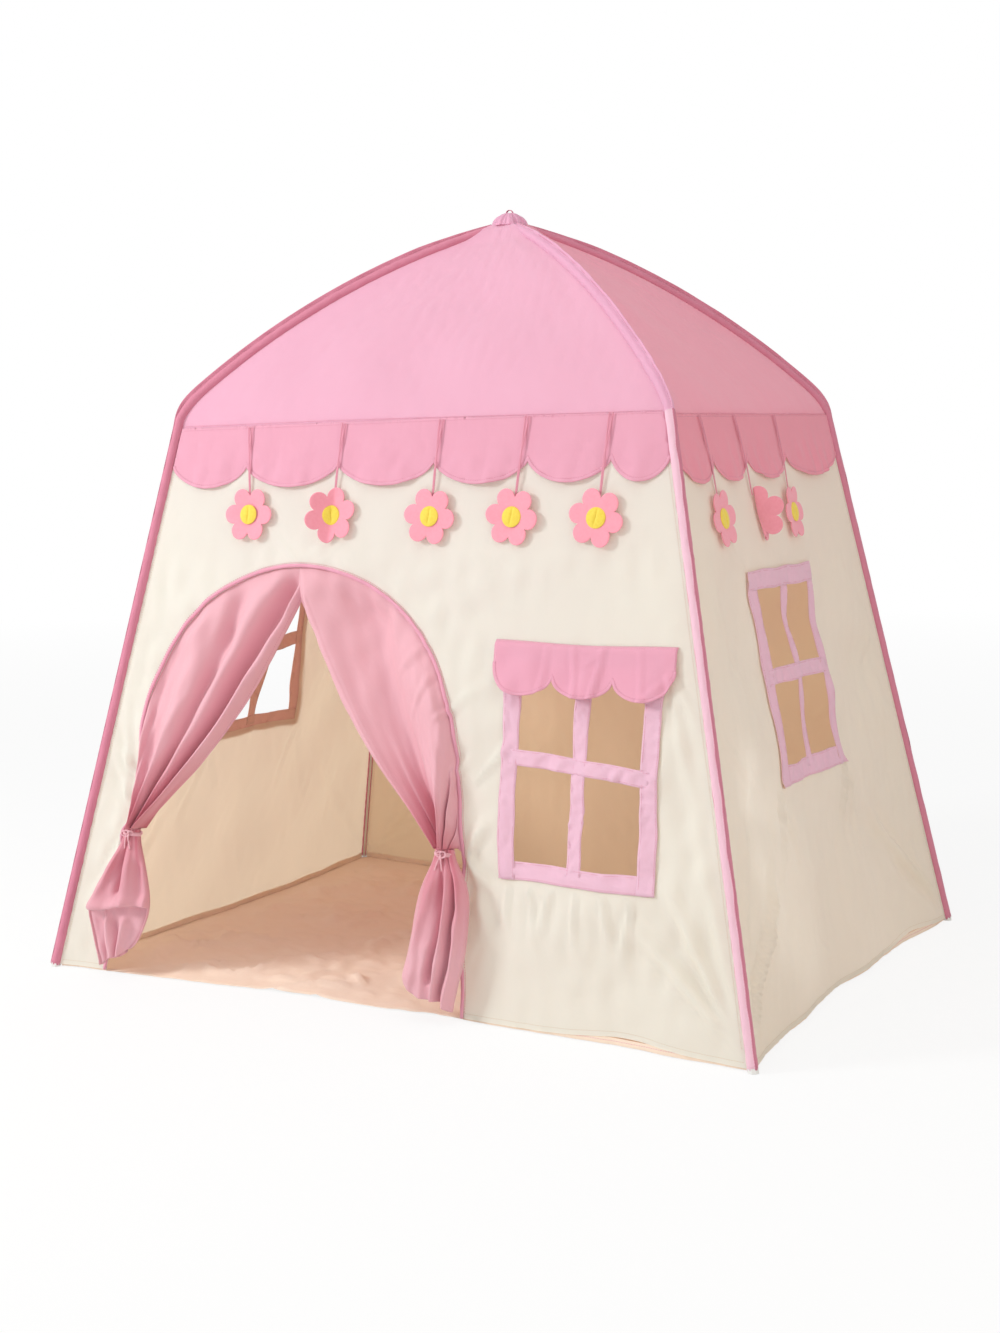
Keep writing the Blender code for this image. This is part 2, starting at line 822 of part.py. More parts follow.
def build_walls():
    for side in SIDES:
        low = edge_reach(side, HEM_LIFT)
        high = edge_reach(side, SEAM_HEIGHT)
        outline = [(low, HEM_LIFT), (high, SEAM_HEIGHT), (-high, SEAM_HEIGHT), (-low, HEM_LIFT)]
        if side == "front":
            outline += door_arch(0, HEM_LIFT)
        holes = []
        if side in WINDOW_SILL:
            holes.append(rectangle(*window_box(side, FRAME_OVERLAP)))
        pattern = cut_pattern(outline, holes, WALL_STEP)
        mesh = thick_cloth(pattern, wall_cloth(side, -CLOTH / 2), CLOTH)
        smooth(add_object("wall_" + side, mesh, CREAM))


def build_roof_panels():
    stop = roof_place(SLEEVE_END_AT_APEX)
    for side in SIDES:
        start = side_place(side, SEAM_HEIGHT + FIT_GAP)
        places = [place for place, point in corner_run(SIDES[side][0], start, stop)]
        heights = [side_height(side, place) for place in places]
        rows = len(heights) - 1

        def place(column, row, extra):
            v = heights[round(row * rows)]
            u = edge_reach(side, v) * (2 * column - 1)
            return side_point(side, u, v, extra - CLOTH / 2)

        mesh = grid_cloth(ROOF_COLUMNS, rows, place, CLOTH)
        smooth(add_object("roof_panel_" + side, mesh, PINK))


def scallops(cusps, height, drop, points):
    """Edge of scallops between cusps, read from the last cusp back to the first."""
    edge = []
    for right, left in zip(reversed(cusps), list(reversed(cusps))[1:]):
        middle = (left + right) / 2
        half = (right - left) / 2
        for index in range(points):
            turn = math.pi * index / points
            edge.append((middle + half * math.cos(turn), height - drop * math.sin(turn)))
    edge.append((cusps[0], height))
    return edge


def valance_lift():
    return CLOTH / 2 + LAYER_GAP


def build_valances():
    for side in SIDES:
        top = edge_reach(side, SEAM_HEIGHT) - FIT_GAP
        end = edge_reach(side, CUSP_HEIGHT) - FIT_GAP
        half = half_width(side, wall_slope(side))
        cusps = [-end] + [share * half for share in CUSP_SHARES[side]] + [end]
        edge = scallops(cusps, CUSP_HEIGHT, SCALLOP_DROP, SCALLOP_POINTS)
        outline = [(-top, SEAM_HEIGHT), (top, SEAM_HEIGHT)] + edge
        pattern = cut_pattern(outline, [], WALL_STEP)
        mesh = thick_cloth(pattern, wall_cloth(side, valance_lift()), TRIM)
        smooth(add_object("valance_" + side, mesh, DEEP_PINK))


def build_floor():
    outline = []
    reach = CLOTH / 2 + LAYER_GAP
    for side in SIDES:
        half = half_width(side, 0) - FLOOR_CORNER_CUT
        for index in range(HEM_POINTS + 1):
            u = half * (2 * index / HEM_POINTS - 1)
            point = side_point(side, u, 0, 0) - outward(side) * reach
            outline.append((point.x, point.y))
    pattern = cut_pattern(outline, [], FLOOR_STEP)

    def place(u, v, extra):
        return Vector((u, v, extra))

    add_object("floor_sheet", thick_cloth(pattern, place, FLOOR_THICKNESS), FLOOR_CREAM)


def build_apex_loop():
    """Gathered cap of cloth over the hub, with a small standing loop of strap."""
    under = HUB_RISE + CAP_CLEARANCE
    profile = [
        (HUB_RADIUS / 2, under),
        (HUB_RADIUS, under),
        (CAP_RADIUS, under - CAP_FALL),
        (CAP_RADIUS, under - CAP_FALL + TRIM),
        (HUB_RADIUS, under + TRIM),
        (HUB_RADIUS / 2, under + TRIM),
    ]
    bm = bmesh.new()
    skin(bm, turned(profile, CAP_SIDES, apex_point()))
    cap = smooth(add_object("apex_loop", closed_mesh(bm), PINK))
    crown = apex_point() + Vector((0, 0, under + TRIM + LOOP_RISE))
    loop = ring_solid(crown, LOOP_RADIUS, LOOP_RADIUS, LOOP_THICKNESS / 2, True)
    join_solid(cap, add_object("loop_strap", loop, PINK))


# Doorway trim and curtains
def build_door_piping():
    lift = CLOTH / 2 + FIT_GAP + PIPING_RADIUS
    arch = door_arch(-PIPING_RADIUS - FIT_GAP, HEM_LIFT)
    points = [side_point("front", u, v, lift) for u, v in arch]
    section = [circle(PIPING_RADIUS, PIPING_SIDES)] * len(points)
    bm = bmesh.new()
    skin(bm, swept_rings(points, section, outward("front")))
    smooth(add_object("door_piping", closed_mesh(bm), DEEP_PINK))


def tie_place(which):
    height = TIE_HEIGHT[which]
    return door_centre() + HANDS[which] * (door_half_width(height) - TIE_INSET[which]), height


def sewn_edge(which, share):
    """Edge of a curtain from the tie, up the doorway to its top and down to the split."""
    sign = HANDS[which]
    low = TIE_HEIGHT[which] + GATHER_START
    top = DOOR_SPRING_HEIGHT + DOOR_RISE - CURTAIN_EDGE_GAP
    straight = DOOR_SPRING_HEIGHT - low
    quarter = (door_spring() + DOOR_RISE) / 2 * math.pi / 2
    if share > TOP_SHARE:
        down = (share - TOP_SHARE) / (1 - TOP_SHARE) * CURTAIN_SPLIT_DROP
        return door_centre() + sign * CURTAIN_MEETING_GAP, top - down
    travel = share / TOP_SHARE * (straight + quarter)
    if travel < straight:
        v = low + travel
        return door_centre() + sign * (door_half_width(v) - CURTAIN_EDGE_GAP), v
    turn = (travel - straight) / quarter * math.pi / 2
    u = (door_spring() - CURTAIN_EDGE_GAP) * math.cos(turn)
    v = DOOR_SPRING_HEIGHT + (DOOR_RISE - CURTAIN_EDGE_GAP) * math.sin(turn)
    return door_centre() + sign * max(u, CURTAIN_MEETING_GAP), v


def eased(value):
    value = min(max(value, 0), 1)
    return value * value * (3 - 2 * value)


def curtain_cloth(which):
    """Gathered curtain: folds fan out from the tie to the edge sewn in the arch."""
    sign = HANDS[which]
    tie_u, tie_v = tie_place(which)

    def place(column, row, extra):
        edge_u, edge_v = sewn_edge(which, column)
        start_u = tie_u + sign * GATHER_WIDTH * (0.5 - column)
        start_v = tie_v + LAYER_GAP
        length = math.hypot(edge_u - start_u, edge_v - start_v)
        swag = EDGE_SWAG * column ** 2 * math.sin(math.pi * row)
        u = start_u + (edge_u - start_u) * row - sign * swag
        v = start_v + (edge_v - start_v) * row - swag / 2
        risen = eased((1 - row) * length / FOLD_RAMP)
        fold = FOLD_DEPTH * math.sin(2 * math.pi * FOLD_COUNT * column) * risen
        swell = (TAIL_REAR_LIFT + NECK_HALF_DEPTH) * risen * (1 - row) ** 2
        return side_point("front", u, v, swell + fold * (1 - row / 2) + extra)

    return place


def build_curtains():
    for which in HANDS:
        mesh = grid_cloth(FOLD_COLUMNS, FOLD_ROWS, curtain_cloth(which), CURTAIN_THICKNESS)
        smooth(add_object("door_curtain_" + which, mesh, CURTAIN_PINK), 60)


def tail_levels(which):
    """Drop, drift, half width, half depth and flute share of each level of a tail."""
    length = TAIL_LENGTH[which]
    neck = NECK_LENGTH
    levels = [
        (0, 0, NECK_HALF_WIDTH, NECK_HALF_DEPTH, 0),
        (neck, 0, NECK_HALF_WIDTH, NECK_HALF_DEPTH, 0),
    ]
    for drop, width, depth, drift in TAIL_SHARES[which]:
        half = max(TAIL_HALF_WIDTH[which] * width, NECK_HALF_WIDTH)
        deep = max(TAIL_HALF_DEPTH * depth, NECK_HALF_DEPTH)
        below = neck + (length - neck) * drop
        levels.append((below, -TAIL_DRIFT[which] * drift, half, deep, FLUTE_SHARE))
    return levels


def tail_frame(which):
    tie_u, tie_v = tie_place(which)
    return hung_frame("front", tie_u, tie_v, 0)


def build_curtain_tails():
    for which in HANDS:
        rings = []
        for drop, drift, wide, deep, flute in tail_levels(which):
            ring = []
            for index in range(TAIL_SIDES):
                turn = 2 * math.pi * index / TAIL_SIDES
                ripple = 1 - flute * (1 + math.cos(TAIL_FLUTES * turn)) / 2
                out = TAIL_REAR_LIFT + deep + deep * ripple * math.sin(turn)
                ring.append(Vector((drift + wide * ripple * math.cos(turn), -drop, out)))
            rings.append(ring)
        bm = bmesh.new()
        skin(bm, rings)
        frame = tail_frame(which)
        item = add_object("curtain_tail_" + which, closed_mesh(bm), CURTAIN_PINK, 0.9, frame)
        smooth(item, 60)


def ring_solid(middle, wide, deep, cord, across_y):
    """Closed cord ring round a middle, in the plane square to the given direction."""
    points = []
    for index in range(TIE_TURN_POINTS):
        turn = 2 * math.pi * index / TIE_TURN_POINTS
        if across_y:
            offset = Vector((wide * math.cos(turn), 0, deep * math.sin(turn)))
        else:
            offset = Vector((wide * math.cos(turn), deep * math.sin(turn), 0))
        points.append(middle + offset)
    across = Vector((0, 1, 0)) if across_y else Vector((0, 0, 1))
    section = [circle(cord, TIE_CORD_SIDES)] * len(points)
    bm = bmesh.new()
    skin(bm, swept_rings(points, section, across, closed=True), closed=True)
    return closed_mesh(bm)


def build_curtain_ties():
    """Cord round each gathered curtain, with a knot in front and a small bow loop."""
    for which in HANDS:
        frame = tail_frame(which)
        flat_share = math.cos(math.pi / TIE_TURN_POINTS)
        wide = (NECK_HALF_WIDTH + FIT_GAP + TIE_CORD_RADIUS) / flat_share
        deep = (NECK_HALF_DEPTH + FIT_GAP + TIE_CORD_RADIUS) / flat_share
        middle = Vector((0, -NECK_LENGTH / 2, TAIL_REAR_LIFT + NECK_HALF_DEPTH))
        ring = ring_solid(middle, wide, deep, TIE_CORD_RADIUS, True)
        tie = smooth(add_object("curtain_tie_" + which, ring, RIBBON_PINK, 0.9, frame))
        front = middle + Vector((0, 0, deep + TIE_CORD_RADIUS))
        bm = bmesh.new()
        bmesh.ops.create_icosphere(bm, subdivisions=2, radius=KNOT_RADIUS)
        bmesh.ops.translate(bm, verts=bm.verts, vec=front + Vector((0, 0, KNOT_RADIUS / 2)))
        knot = add_object("knot_" + which, closed_mesh(bm), RIBBON_PINK, 0.9, frame)
        join_solid(tie, knot)
        side = Vector((HANDS[which] * (TIE_LOOP_RADIUS + KNOT_RADIUS / 2), 0, KNOT_RADIUS / 2))
        loop = ring_solid(front + side, TIE_LOOP_RADIUS, TIE_LOOP_RADIUS / 2, TIE_LOOP_CORD, False)
        join_solid(tie, add_object("tie_loop_" + which, loop, RIBBON_PINK, 0.9, frame))


# Windows
def window_panes(side):
    left, right, low, high = window_box(side, FRAME_STRIP)
    middle_u, middle_v = (left + right) / 2, (low + high) / 2
    half = BAR_STRIP / 2
    panes = []
    for a, b in ((left, middle_u - half), (middle_u + half, right)):
        for c, d in ((low, middle_v - half), (middle_v + half, high)):
            panes.append(rectangle(a, b, c, d))
    return panes


def build_window_frames():
    for side in WINDOW_SILL:
        outline = rectangle(*window_box(side, 0))
        pattern = cut_pattern(outline, window_panes(side), FRAME_STEP)
        mesh = thick_cloth(pattern, wall_cloth(side, CLOTH / 2 + LAYER_GAP), TRIM)
        smooth(add_object("window_frame_" + side, mesh, PINK))


def awning_top():
    return FRONT_WINDOW_SILL + FRONT_WINDOW_HEIGHT + AWNING_RAISE


def awning_frame():
    return hung_frame("front", window_middle("front"), awning_top(), AWNING_LIFT)


def build_awning():
    half = AWNING_WIDTH / 2
    cusps = [-half + AWNING_WIDTH * index / AWNING_SCALLOPS for index in range(AWNING_SCALLOPS + 1)]
    edge = scallops(cusps, -AWNING_DROP, AWNING_SCALLOP_DROP, SCALLOP_POINTS)
    pattern = cut_pattern([(-half, 0), (half, 0)] + edge, [], AWNING_STEP)

    def place(u, v, extra):
        share = -v / (AWNING_DROP + AWNING_SCALLOP_DROP)
        return Vector((u, v, AWNING_FLARE * share ** 2 + extra - TRIM / 2))

    mesh = thick_cloth(pattern, place, TRIM)
    smooth(add_object("window_awning", mesh, PINK, 0.9, awning_frame()))


# Hanging flowers
def petal_outline():
    """Union of six petal circles: each gives its arc between the notches."""
    half_step = math.pi / PETAL_COUNT
    across = PETAL_CENTRE * math.sin(half_step)
    notch = PETAL_CENTRE * math.cos(half_step) + math.sqrt(PETAL_RADIUS ** 2 - across ** 2)
    start = math.atan2(
        notch * math.sin(half_step), notch * math.cos(half_step) - PETAL_CENTRE
    )
    points = []
    for petal in range(PETAL_COUNT):
        heading = math.pi / 2 + half_step * (2 * petal + 1)
        for index in range(PETAL_POINTS):
            turn = heading - start + 2 * start * index / PETAL_POINTS
            points.append((
                PETAL_CENTRE * math.cos(heading) + PETAL_RADIUS * math.cos(turn),
                PETAL_CENTRE * math.sin(heading) + PETAL_RADIUS * math.sin(turn),
            ))
    return points


def charm_frame(side, share):
    u = share * half_width(side, wall_slope(side))
    lift = valance_lift() + TRIM + LAYER_GAP + RIBBON_THICKNESS / 2
    return hung_frame(side, u, CHARM_TOP, lift)


def ribbon_mesh(lean):
    """Narrow loop of ribbon from the seam down into the notch between the top petals."""
    low = CHARM_DROP - PETAL_CENTRE - PETAL_RADIUS + RIBBON_TUCK
    half = RIBBON_WIDTH / 2
    outline = [(-half, 0), (half, 0), (half / 2, -low), (-half / 2, -low)]
    inner = half - RIBBON_STRAND
    pinch = half / 2 - RIBBON_STRAND / 2
    slot = [(-inner, -RIBBON_STRAND), (inner, -RIBBON_STRAND)]
    slot += [(pinch, RIBBON_STRAND - low), (-pinch, RIBBON_STRAND - low)]
    back, front = -RIBBON_THICKNESS / 2, RIBBON_THICKNESS / 2
    around = []
    for loop, lift in ((outline, back), (outline, front), (slot, front), (slot, back)):
        around.append([lean @ Vector((u, v, lift)) for u, v in loop])
    bm = bmesh.new()
    skin(bm, around, closed=True)
    return closed_mesh(bm)


def petal_mesh(middle):
    bm = bmesh.new()
    rings = []
    for lift in (0, FELT):
        rings.append([middle @ Vector((u, v, lift)) for u, v in petal_outline()])
    skin(bm, rings)
    return closed_mesh(bm)


def centre_mesh(middle):
    """Slightly domed felt disc on the petals, sunk into them by its stitching."""
    rings = []
    for index in range(CENTRE_RINGS + 2):
        share = max(index - 1, 0) / (CENTRE_RINGS + 1)
        radius = CENTRE_RADIUS * math.cos(share * math.pi / 2)
        lift = FELT / 2 if index == 0 else FELT + CENTRE_RIM + CENTRE_RISE * math.sin(share * math.pi / 2)
        rings.append([middle @ Vector((u, v, lift)) for u, v in circle(radius, CENTRE_SIDES)])
    bm = bmesh.new()
    skin(bm, rings)
    return closed_mesh(bm)


def build_flowers():
    for side, charms in CHARM_SHARES.items():
        for number, (share, lean, turn) in enumerate(charms, start=1):
            name = "flower_" + side + "_" + str(number)
            frame = charm_frame(side, share)
            slant = Matrix.Rotation(math.radians(lean), 4, "Z")
            middle = slant @ Matrix.Translation((0, -CHARM_DROP, 0))
            middle = middle @ Matrix.Rotation(math.radians(turn), 4, "Z")
            flower = smooth(add_object(name, petal_mesh(middle), FELT_PINK, 0.95, frame))
            disc = add_object("disc_" + name, centre_mesh(middle), FELT_PINK, 0.95, frame)
            ribbon = add_object("ribbon_" + name, ribbon_mesh(slant), RIBBON_PINK, 0.9, frame)
            join_solid(flower, disc)
            join_solid(flower, ribbon)


def clear_scene():
    for item in list(bpy.data.objects):
        bpy.data.objects.remove(item, do_unlink=True)


def main():
    clear_scene()
    build_poles()
    build_eave_elbows()
    build_apex_hub()
    build_corner_sleeves()
    build_walls()
    build_roof_panels()
    build_valances()
    build_floor()
    build_apex_loop()
    build_door_piping()
    build_curtains()
    build_curtain_tails()
    build_curtain_ties()
    build_window_frames()
    build_awning()
    build_flowers()


main()
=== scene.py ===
"""Looks of a kids play tent: a sewn cloth shelter with its tension wrinkles, gathered door
curtains, cross-barred windows, scalloped trims, felt flowers, stitching and procedural finishes.

Metres, +Z up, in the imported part's frame. The doorway faces -Y. A place on a side of the
shelter is u, along the side from its middle, to the right as seen from outside, and v, up the
cloth from the hem, over the eave and on towards the apex.
"""

import logging
import math
from dataclasses import dataclass, replace
from enum import Enum
from functools import cache
from typing import Callable, ClassVar, Optional, Sequence

import bpy
import numpy as np
from bpy.types import ID, Material, Node, NodeSocket as Socket, NodeTree, Object
from mathutils import Matrix, Vector
from mathutils.geometry import delaunay_2d_cdt


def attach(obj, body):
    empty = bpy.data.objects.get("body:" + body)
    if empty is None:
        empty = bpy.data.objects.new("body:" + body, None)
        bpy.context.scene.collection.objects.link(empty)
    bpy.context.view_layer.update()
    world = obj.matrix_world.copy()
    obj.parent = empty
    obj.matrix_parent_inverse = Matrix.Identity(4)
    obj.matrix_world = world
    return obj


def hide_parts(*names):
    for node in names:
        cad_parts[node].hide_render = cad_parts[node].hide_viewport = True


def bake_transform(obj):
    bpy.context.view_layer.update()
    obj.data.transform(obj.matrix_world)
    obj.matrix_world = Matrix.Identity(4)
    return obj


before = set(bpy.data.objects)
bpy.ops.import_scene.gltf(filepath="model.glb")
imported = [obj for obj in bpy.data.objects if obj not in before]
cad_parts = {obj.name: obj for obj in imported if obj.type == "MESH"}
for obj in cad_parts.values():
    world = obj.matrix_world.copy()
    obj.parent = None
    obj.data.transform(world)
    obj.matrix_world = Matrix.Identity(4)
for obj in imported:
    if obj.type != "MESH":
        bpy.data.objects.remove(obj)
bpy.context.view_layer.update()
LOG = logging.getLogger("play_tent")

Array = np.ndarray
Relief = Callable[[Array, Array], Array]
Colour = tuple[float, float, float]
Face = tuple[int, ...]
Place = tuple[float, float]

SHELTER = "shelter"
UP = np.array([0.0, 0.0, 1.0])
SLOPE_STEP = 0.002
TAU = 2 * math.pi


class Side(Enum):
    """Sides of the shelter, as seen from outside."""

    FRONT = "front"
    RIGHT = "right"
    BACK = "back"
    LEFT = "left"

    @property
    def rank(self) -> int:
        """Its number in the order above."""
        return list(Side).index(self)


class Hand(Enum):
    """Left and right curtain, with the sign of their side along u."""

    LEFT = -1
    RIGHT = 1

    @property
    def word(self) -> str:
        """Name of the hand as the nodes spell it."""
        return self.name.lower()


CORNER_SIGNS = {"front_left": (-1, -1), "front_right": (1, -1), "back_right": (1, 1), "back_left": (-1, 1)}
SIDE_CORNERS = {
    Side.FRONT: ("front_left", "front_right"),
    Side.RIGHT: ("front_right", "back_right"),
    Side.BACK: ("back_right", "back_left"),
    Side.LEFT: ("back_left", "front_left"),
}


def eased(value: Array) -> Array:
    """Smooth step from 0 to 1 of a value, clipped outside."""
    value = np.clip(value, 0, 1)
    return value * value * (3 - 2 * value)


def unit(vectors: Array) -> Array:
    """Rows of vectors, each made one long."""
    length = np.linalg.norm(vectors, axis=-1, keepdims=True)
    return vectors / np.maximum(length, 1e-12)


def row(*values: float) -> Array:
    """Numbers as an array of floats."""
    return np.array(values, float)


def moved(points: Array, matrix: Matrix) -> Array:
    """Points carried by a matrix."""
    turn = np.array(matrix)
    return points @ turn[:3, :3].T + turn[:3, 3]


def travelled(points: Array) -> Array:
    """Length along a line up to each of its points."""
    return np.concatenate([[0], np.cumsum(np.linalg.norm(np.diff(points, axis=0), axis=1))])


def facing(place: Callable[[Array, Array], Array], u: Array, v: Array) -> Array:
    """Directions out of a surface, from the slopes at its places."""
    along = place(u + SLOPE_STEP, v) - place(u - SLOPE_STEP, v)
    rising = place(u, v + SLOPE_STEP) - place(u, v - SLOPE_STEP)
    return unit(np.cross(along, rising))


# Rise of the eave seam at the left and right end of a side, in metres: it is sewn uneven
SEAM_RISE = {Side.FRONT: (-0.0045, 0.0145), Side.RIGHT: (0.0145, 0.02),
             Side.BACK: (0.02, -0.0045), Side.LEFT: (-0.0045, -0.0045)}


# Shape of the shelter


@dataclass(frozen=True)
class ShelterForm:
    """Driving sizes of the shelter, between pole axes, and the surfaces that follow from them."""

    base_width: float = 1.3
    base_depth: float = 1.0
    eave_width: float = 0.906
    eave_depth: float = 0.697
    eave_height: float = 0.962
    apex_height: float = 1.278
    roof_bow: float = 0.0375
    roof_dip: float = 0.01
    elbow_leg: float = 0.022
    elbow_roof: float = 0.045
    front_bow: float = 0.035
    side_bow: float = 0.028
    back_bow: float = 0.03
    bow_power: float = 1.5
    seam_height: float = 0.945

    def foot(self, corner: str) -> Array:
        """Point on the ground where a corner's pole axis stands."""
        sx, sy = CORNER_SIGNS[corner]
        return row(sx * self.base_width / 2, sy * self.base_depth / 2, 0)

    def eave(self, corner: str) -> Array:
        """Point where a corner's leg and roof pole axes would meet."""
        sx, sy = CORNER_SIGNS[corner]
        return row(sx * self.eave_width / 2, sy * self.eave_depth / 2, self.eave_height)

    def corner(self, corner: str, place: Array) -> Array:
        """Points of a corner line, which is straight, rounds the eave and bows to the apex.

        Args:
            corner: name of the corner.
            place: 0 at the foot, 1 at the eave and 2 at the apex.

        Returns:
            One point for each place.
        """
        foot, eave = self.foot(corner), self.eave(corner)
        leg = eave - foot
        chord = row(0, 0, self.apex_height) - eave
        along = unit(chord)
        rise = unit(UP - along * along[2])
        t = np.asarray(place, float).reshape(-1, 1)

        def roof(share: Array) -> Array:
            """Point of the bowed roof pole."""
            return eave + chord * share + rise * (4 * self.roof_bow * share * (1 - share))

        before = 1 - self.elbow_leg / np.linalg.norm(leg)
        after = 1 + self.elbow_roof / np.linalg.norm(chord)
        share = (t - before) / (after - before)
        start, stop = foot + leg * before, roof(after - 1)
        bend = start * (1 - share) ** 2 + eave * 2 * share * (1 - share) + stop * share ** 2
        return np.where(t < before, foot + leg * t, np.where(t > after, roof(t - 1), bend))

    def slopes(self, side: Side) -> Place:
        """Lengths of a side's wall and roof up its middle."""
        left, right = SIDE_CORNERS[side]
        eave = (self.eave(left) + self.eave(right)) / 2
        foot = (self.foot(left) + self.foot(right)) / 2
        apex = row(0, 0, self.apex_height)
        return float(np.linalg.norm(eave - foot)), float(np.linalg.norm(apex - eave))

    def place(self, side: Side, v: Array) -> Array:
        """Places on the corner lines for heights up the cloth."""
        wall, roof = self.slopes(side)
        v = np.asarray(v, float)
        return np.where(v <= wall, v / wall, 1 + (v - wall) / roof)

    def reach(self, side: Side, v: float) -> float:
        """Half of the distance between a side's pole axes at one height."""
        return float(self.half_width(side, row(v))[0])

    def rise(self, side: Side, u: Array) -> Array:
        """Rise of the eave seam over its mean height."""
        low, high = SEAM_RISE[side]
        return low + (high - low) * np.clip((u / self.reach(side, self.seam_height) + 1) / 2, 0, 1)

    def outward(self, side: Side) -> Array:
        """Level direction out of a side."""
        left, right = SIDE_CORNERS[side]
        return unit(np.cross(self.foot(right) - self.foot(left), UP))

    def half_width(self, side: Side, v: Array) -> Array:
        """Half of the distance between a side's pole axes."""
        left, right = SIDE_CORNERS[side]
        place = self.place(side, np.atleast_1d(v))
        return np.linalg.norm(self.corner(right, place) - self.corner(left, place), axis=1) / 2

    def bare(self, side: Side, u: Array, v: Array) -> Array:
        """Points on the middle of the smooth cloth.

        Args:
            side: side of the shelter.
            u: places along it.
            v: places up the cloth.

        Returns:
            One point for each place.
        """
        left, right = SIDE_CORNERS[side]
        place = self.place(side, v)
        low, high = self.corner(left, place), self.corner(right, place)
        span = high - low
        width = np.linalg.norm(span, axis=1)
        share = np.minimum(np.abs(u) * 2 / width, 1)
        point = (low + high) / 2 + span * (u / width)[:, None]
        hollow = 1 - share ** 2
        deep = {Side.FRONT: self.front_bow, Side.BACK: self.back_bow}.get(side, self.side_bow)
        bow = deep * hollow * np.clip(1 - place, 0, 1) ** self.bow_power
        dip = self.roof_dip * hollow * np.sin(np.pi * np.clip(place - 1, 0, 1))
        return point - self.outward(side) * bow[:, None] - UP * dip[:, None]

    def normals(self, side: Side, u: Array, v: Array) -> Array:
        """Directions out of the smooth cloth."""
        return facing(lambda a, b: self.bare(side, a, b), u, v)

    def hung_frame(self, side: Side, u: float, v: float, lift: float) -> Matrix:
        """Frame on a side: X along it, Y up the cloth and Z out of it.

        Args:
            side: side of the shelter.
            u: place along the side.
            v: place up the cloth.
            lift: distance of the origin out of the cloth.

        Returns:
            The frame as a matrix.
        """
        at = row(u), row(v)
        far, near = (self.bare(side, at[0] + step, at[1]) for step in (SLOPE_STEP, -SLOPE_STEP))
        along, normal = unit(far - near)[0], self.normals(side, *at)[0]
        origin = self.bare(side, *at)[0] + normal * lift
        turn = Matrix((along, np.cross(normal, along), normal)).transposed().to_4x4()
        return Matrix.Translation(Vector(origin)) @ turn


FORM = ShelterForm()


# Unevenness of cloth


@dataclass(frozen=True)
class Ripples:
    """Smooth seeded unevenness of about unit height, as a sum of plane waves."""

    seed: int
    wavelength: float
    stretch: float = 1.0
    waves: int = 16

    def __call__(self, u: Array, v: Array) -> Array:
        """Height at each place; a stretch over 1 draws the waves out along u."""
        draw = np.random.default_rng(self.seed)
        heading = draw.uniform(0, math.pi, self.waves)
        pace = TAU / (self.wavelength * draw.uniform(0.65, 1.6, self.waves))
        phase = draw.uniform(0, TAU, self.waves)
        total = np.zeros(np.shape(u))
        for turn, rate, start in zip(heading, pace, phase):
            total += np.cos(rate * (math.cos(turn) * u / self.stretch + math.sin(turn) * v) + start)
        return total / math.sqrt(self.waves / 2)


@dataclass(frozen=True)
class Crease:
    """Tension fold that fans out from where the cloth is held."""

    start: Place
    end: Place
    depth: float
    width: float = 0.014
    bend: float = 0.0

    def height(self, u: Array, v: Array) -> Array:
        """Height of the fold.

        Args:
            u: places along the side.
            v: places up the cloth.

        Returns:
            One height for each place.
        """
        du, dv = self.end[0] - self.start[0], self.end[1] - self.start[1]
        length = math.hypot(du, dv)
        t = ((u - self.start[0]) * du + (v - self.start[1]) * dv) / length ** 2
        off = ((v - self.start[1]) * du - (u - self.start[0]) * dv) / length
        off = off - self.bend * 4 * t * (1 - t)
        x = off / (self.width * (0.6 + 0.8 * np.clip(t, 0, 1)))
        fade = eased(t / 0.14 + 0.4) * eased((1 - t) / 0.5)
        fade = np.where((t > -0.1) & (t < 1), fade, 0)
        return self.depth * fade * np.exp(-x * x) * np.cos(2.6 * x)


@dataclass(frozen=True)
class Drape:
    """A side's cloth surface with its relief."""

    side: Side
    relief: Relief

    def lay(self, u: Array, v: Array, lift: float | Array = 0.0) -> Array:
        """Points a lift above the wrinkled cloth."""
        height = self.relief(u, v) + lift
        return FORM.bare(self.side, u, v) + FORM.normals(self.side, u, v) * height[:, None]

    def normals(self, u: Array, v: Array) -> Array:
        """Directions out of the wrinkled cloth."""
        return facing(self.lay, u, v)


# Meshes and pieces


@dataclass
class Patch:
    """Points, faces and the flat place of each point, in metres."""

    points: Array
    faces: list[Face]
    flat: Array

    def area(self) -> float:
        """Area of the flat cut."""
        total = 0.0
        for face in self.faces:
            corners = self.flat[list(face)]
            after = np.roll(corners, -1, axis=0)
            total += abs(np.sum(corners[:, 0] * after[:, 1] - after[:, 0] * corners[:, 1])) / 2
        return float(total)

    def hung_area(self) -> float:
        """Area of a cloth of four-sided faces as it hangs, which its flat cut has too."""
        a, b, c, d = (self.points[np.array(self.faces)[:, k]] for k in range(4))
        first = np.linalg.norm(np.cross(b - a, c - a), axis=1)
        second = np.linalg.norm(np.cross(c - a, d - a), axis=1)
        return float((first + second).sum() / 2)

    def turned_over(self) -> "Patch":
        """The patch with its faces turned to the other side."""
        return Patch(self.points, [tuple(reversed(face)) for face in self.faces], self.flat)


def shown(name: str, data: ID) -> Object:
    """Object with some data, put in the scene."""
    item = bpy.data.objects.new(name, data)
    bpy.context.scene.collection.objects.link(item)
    return item


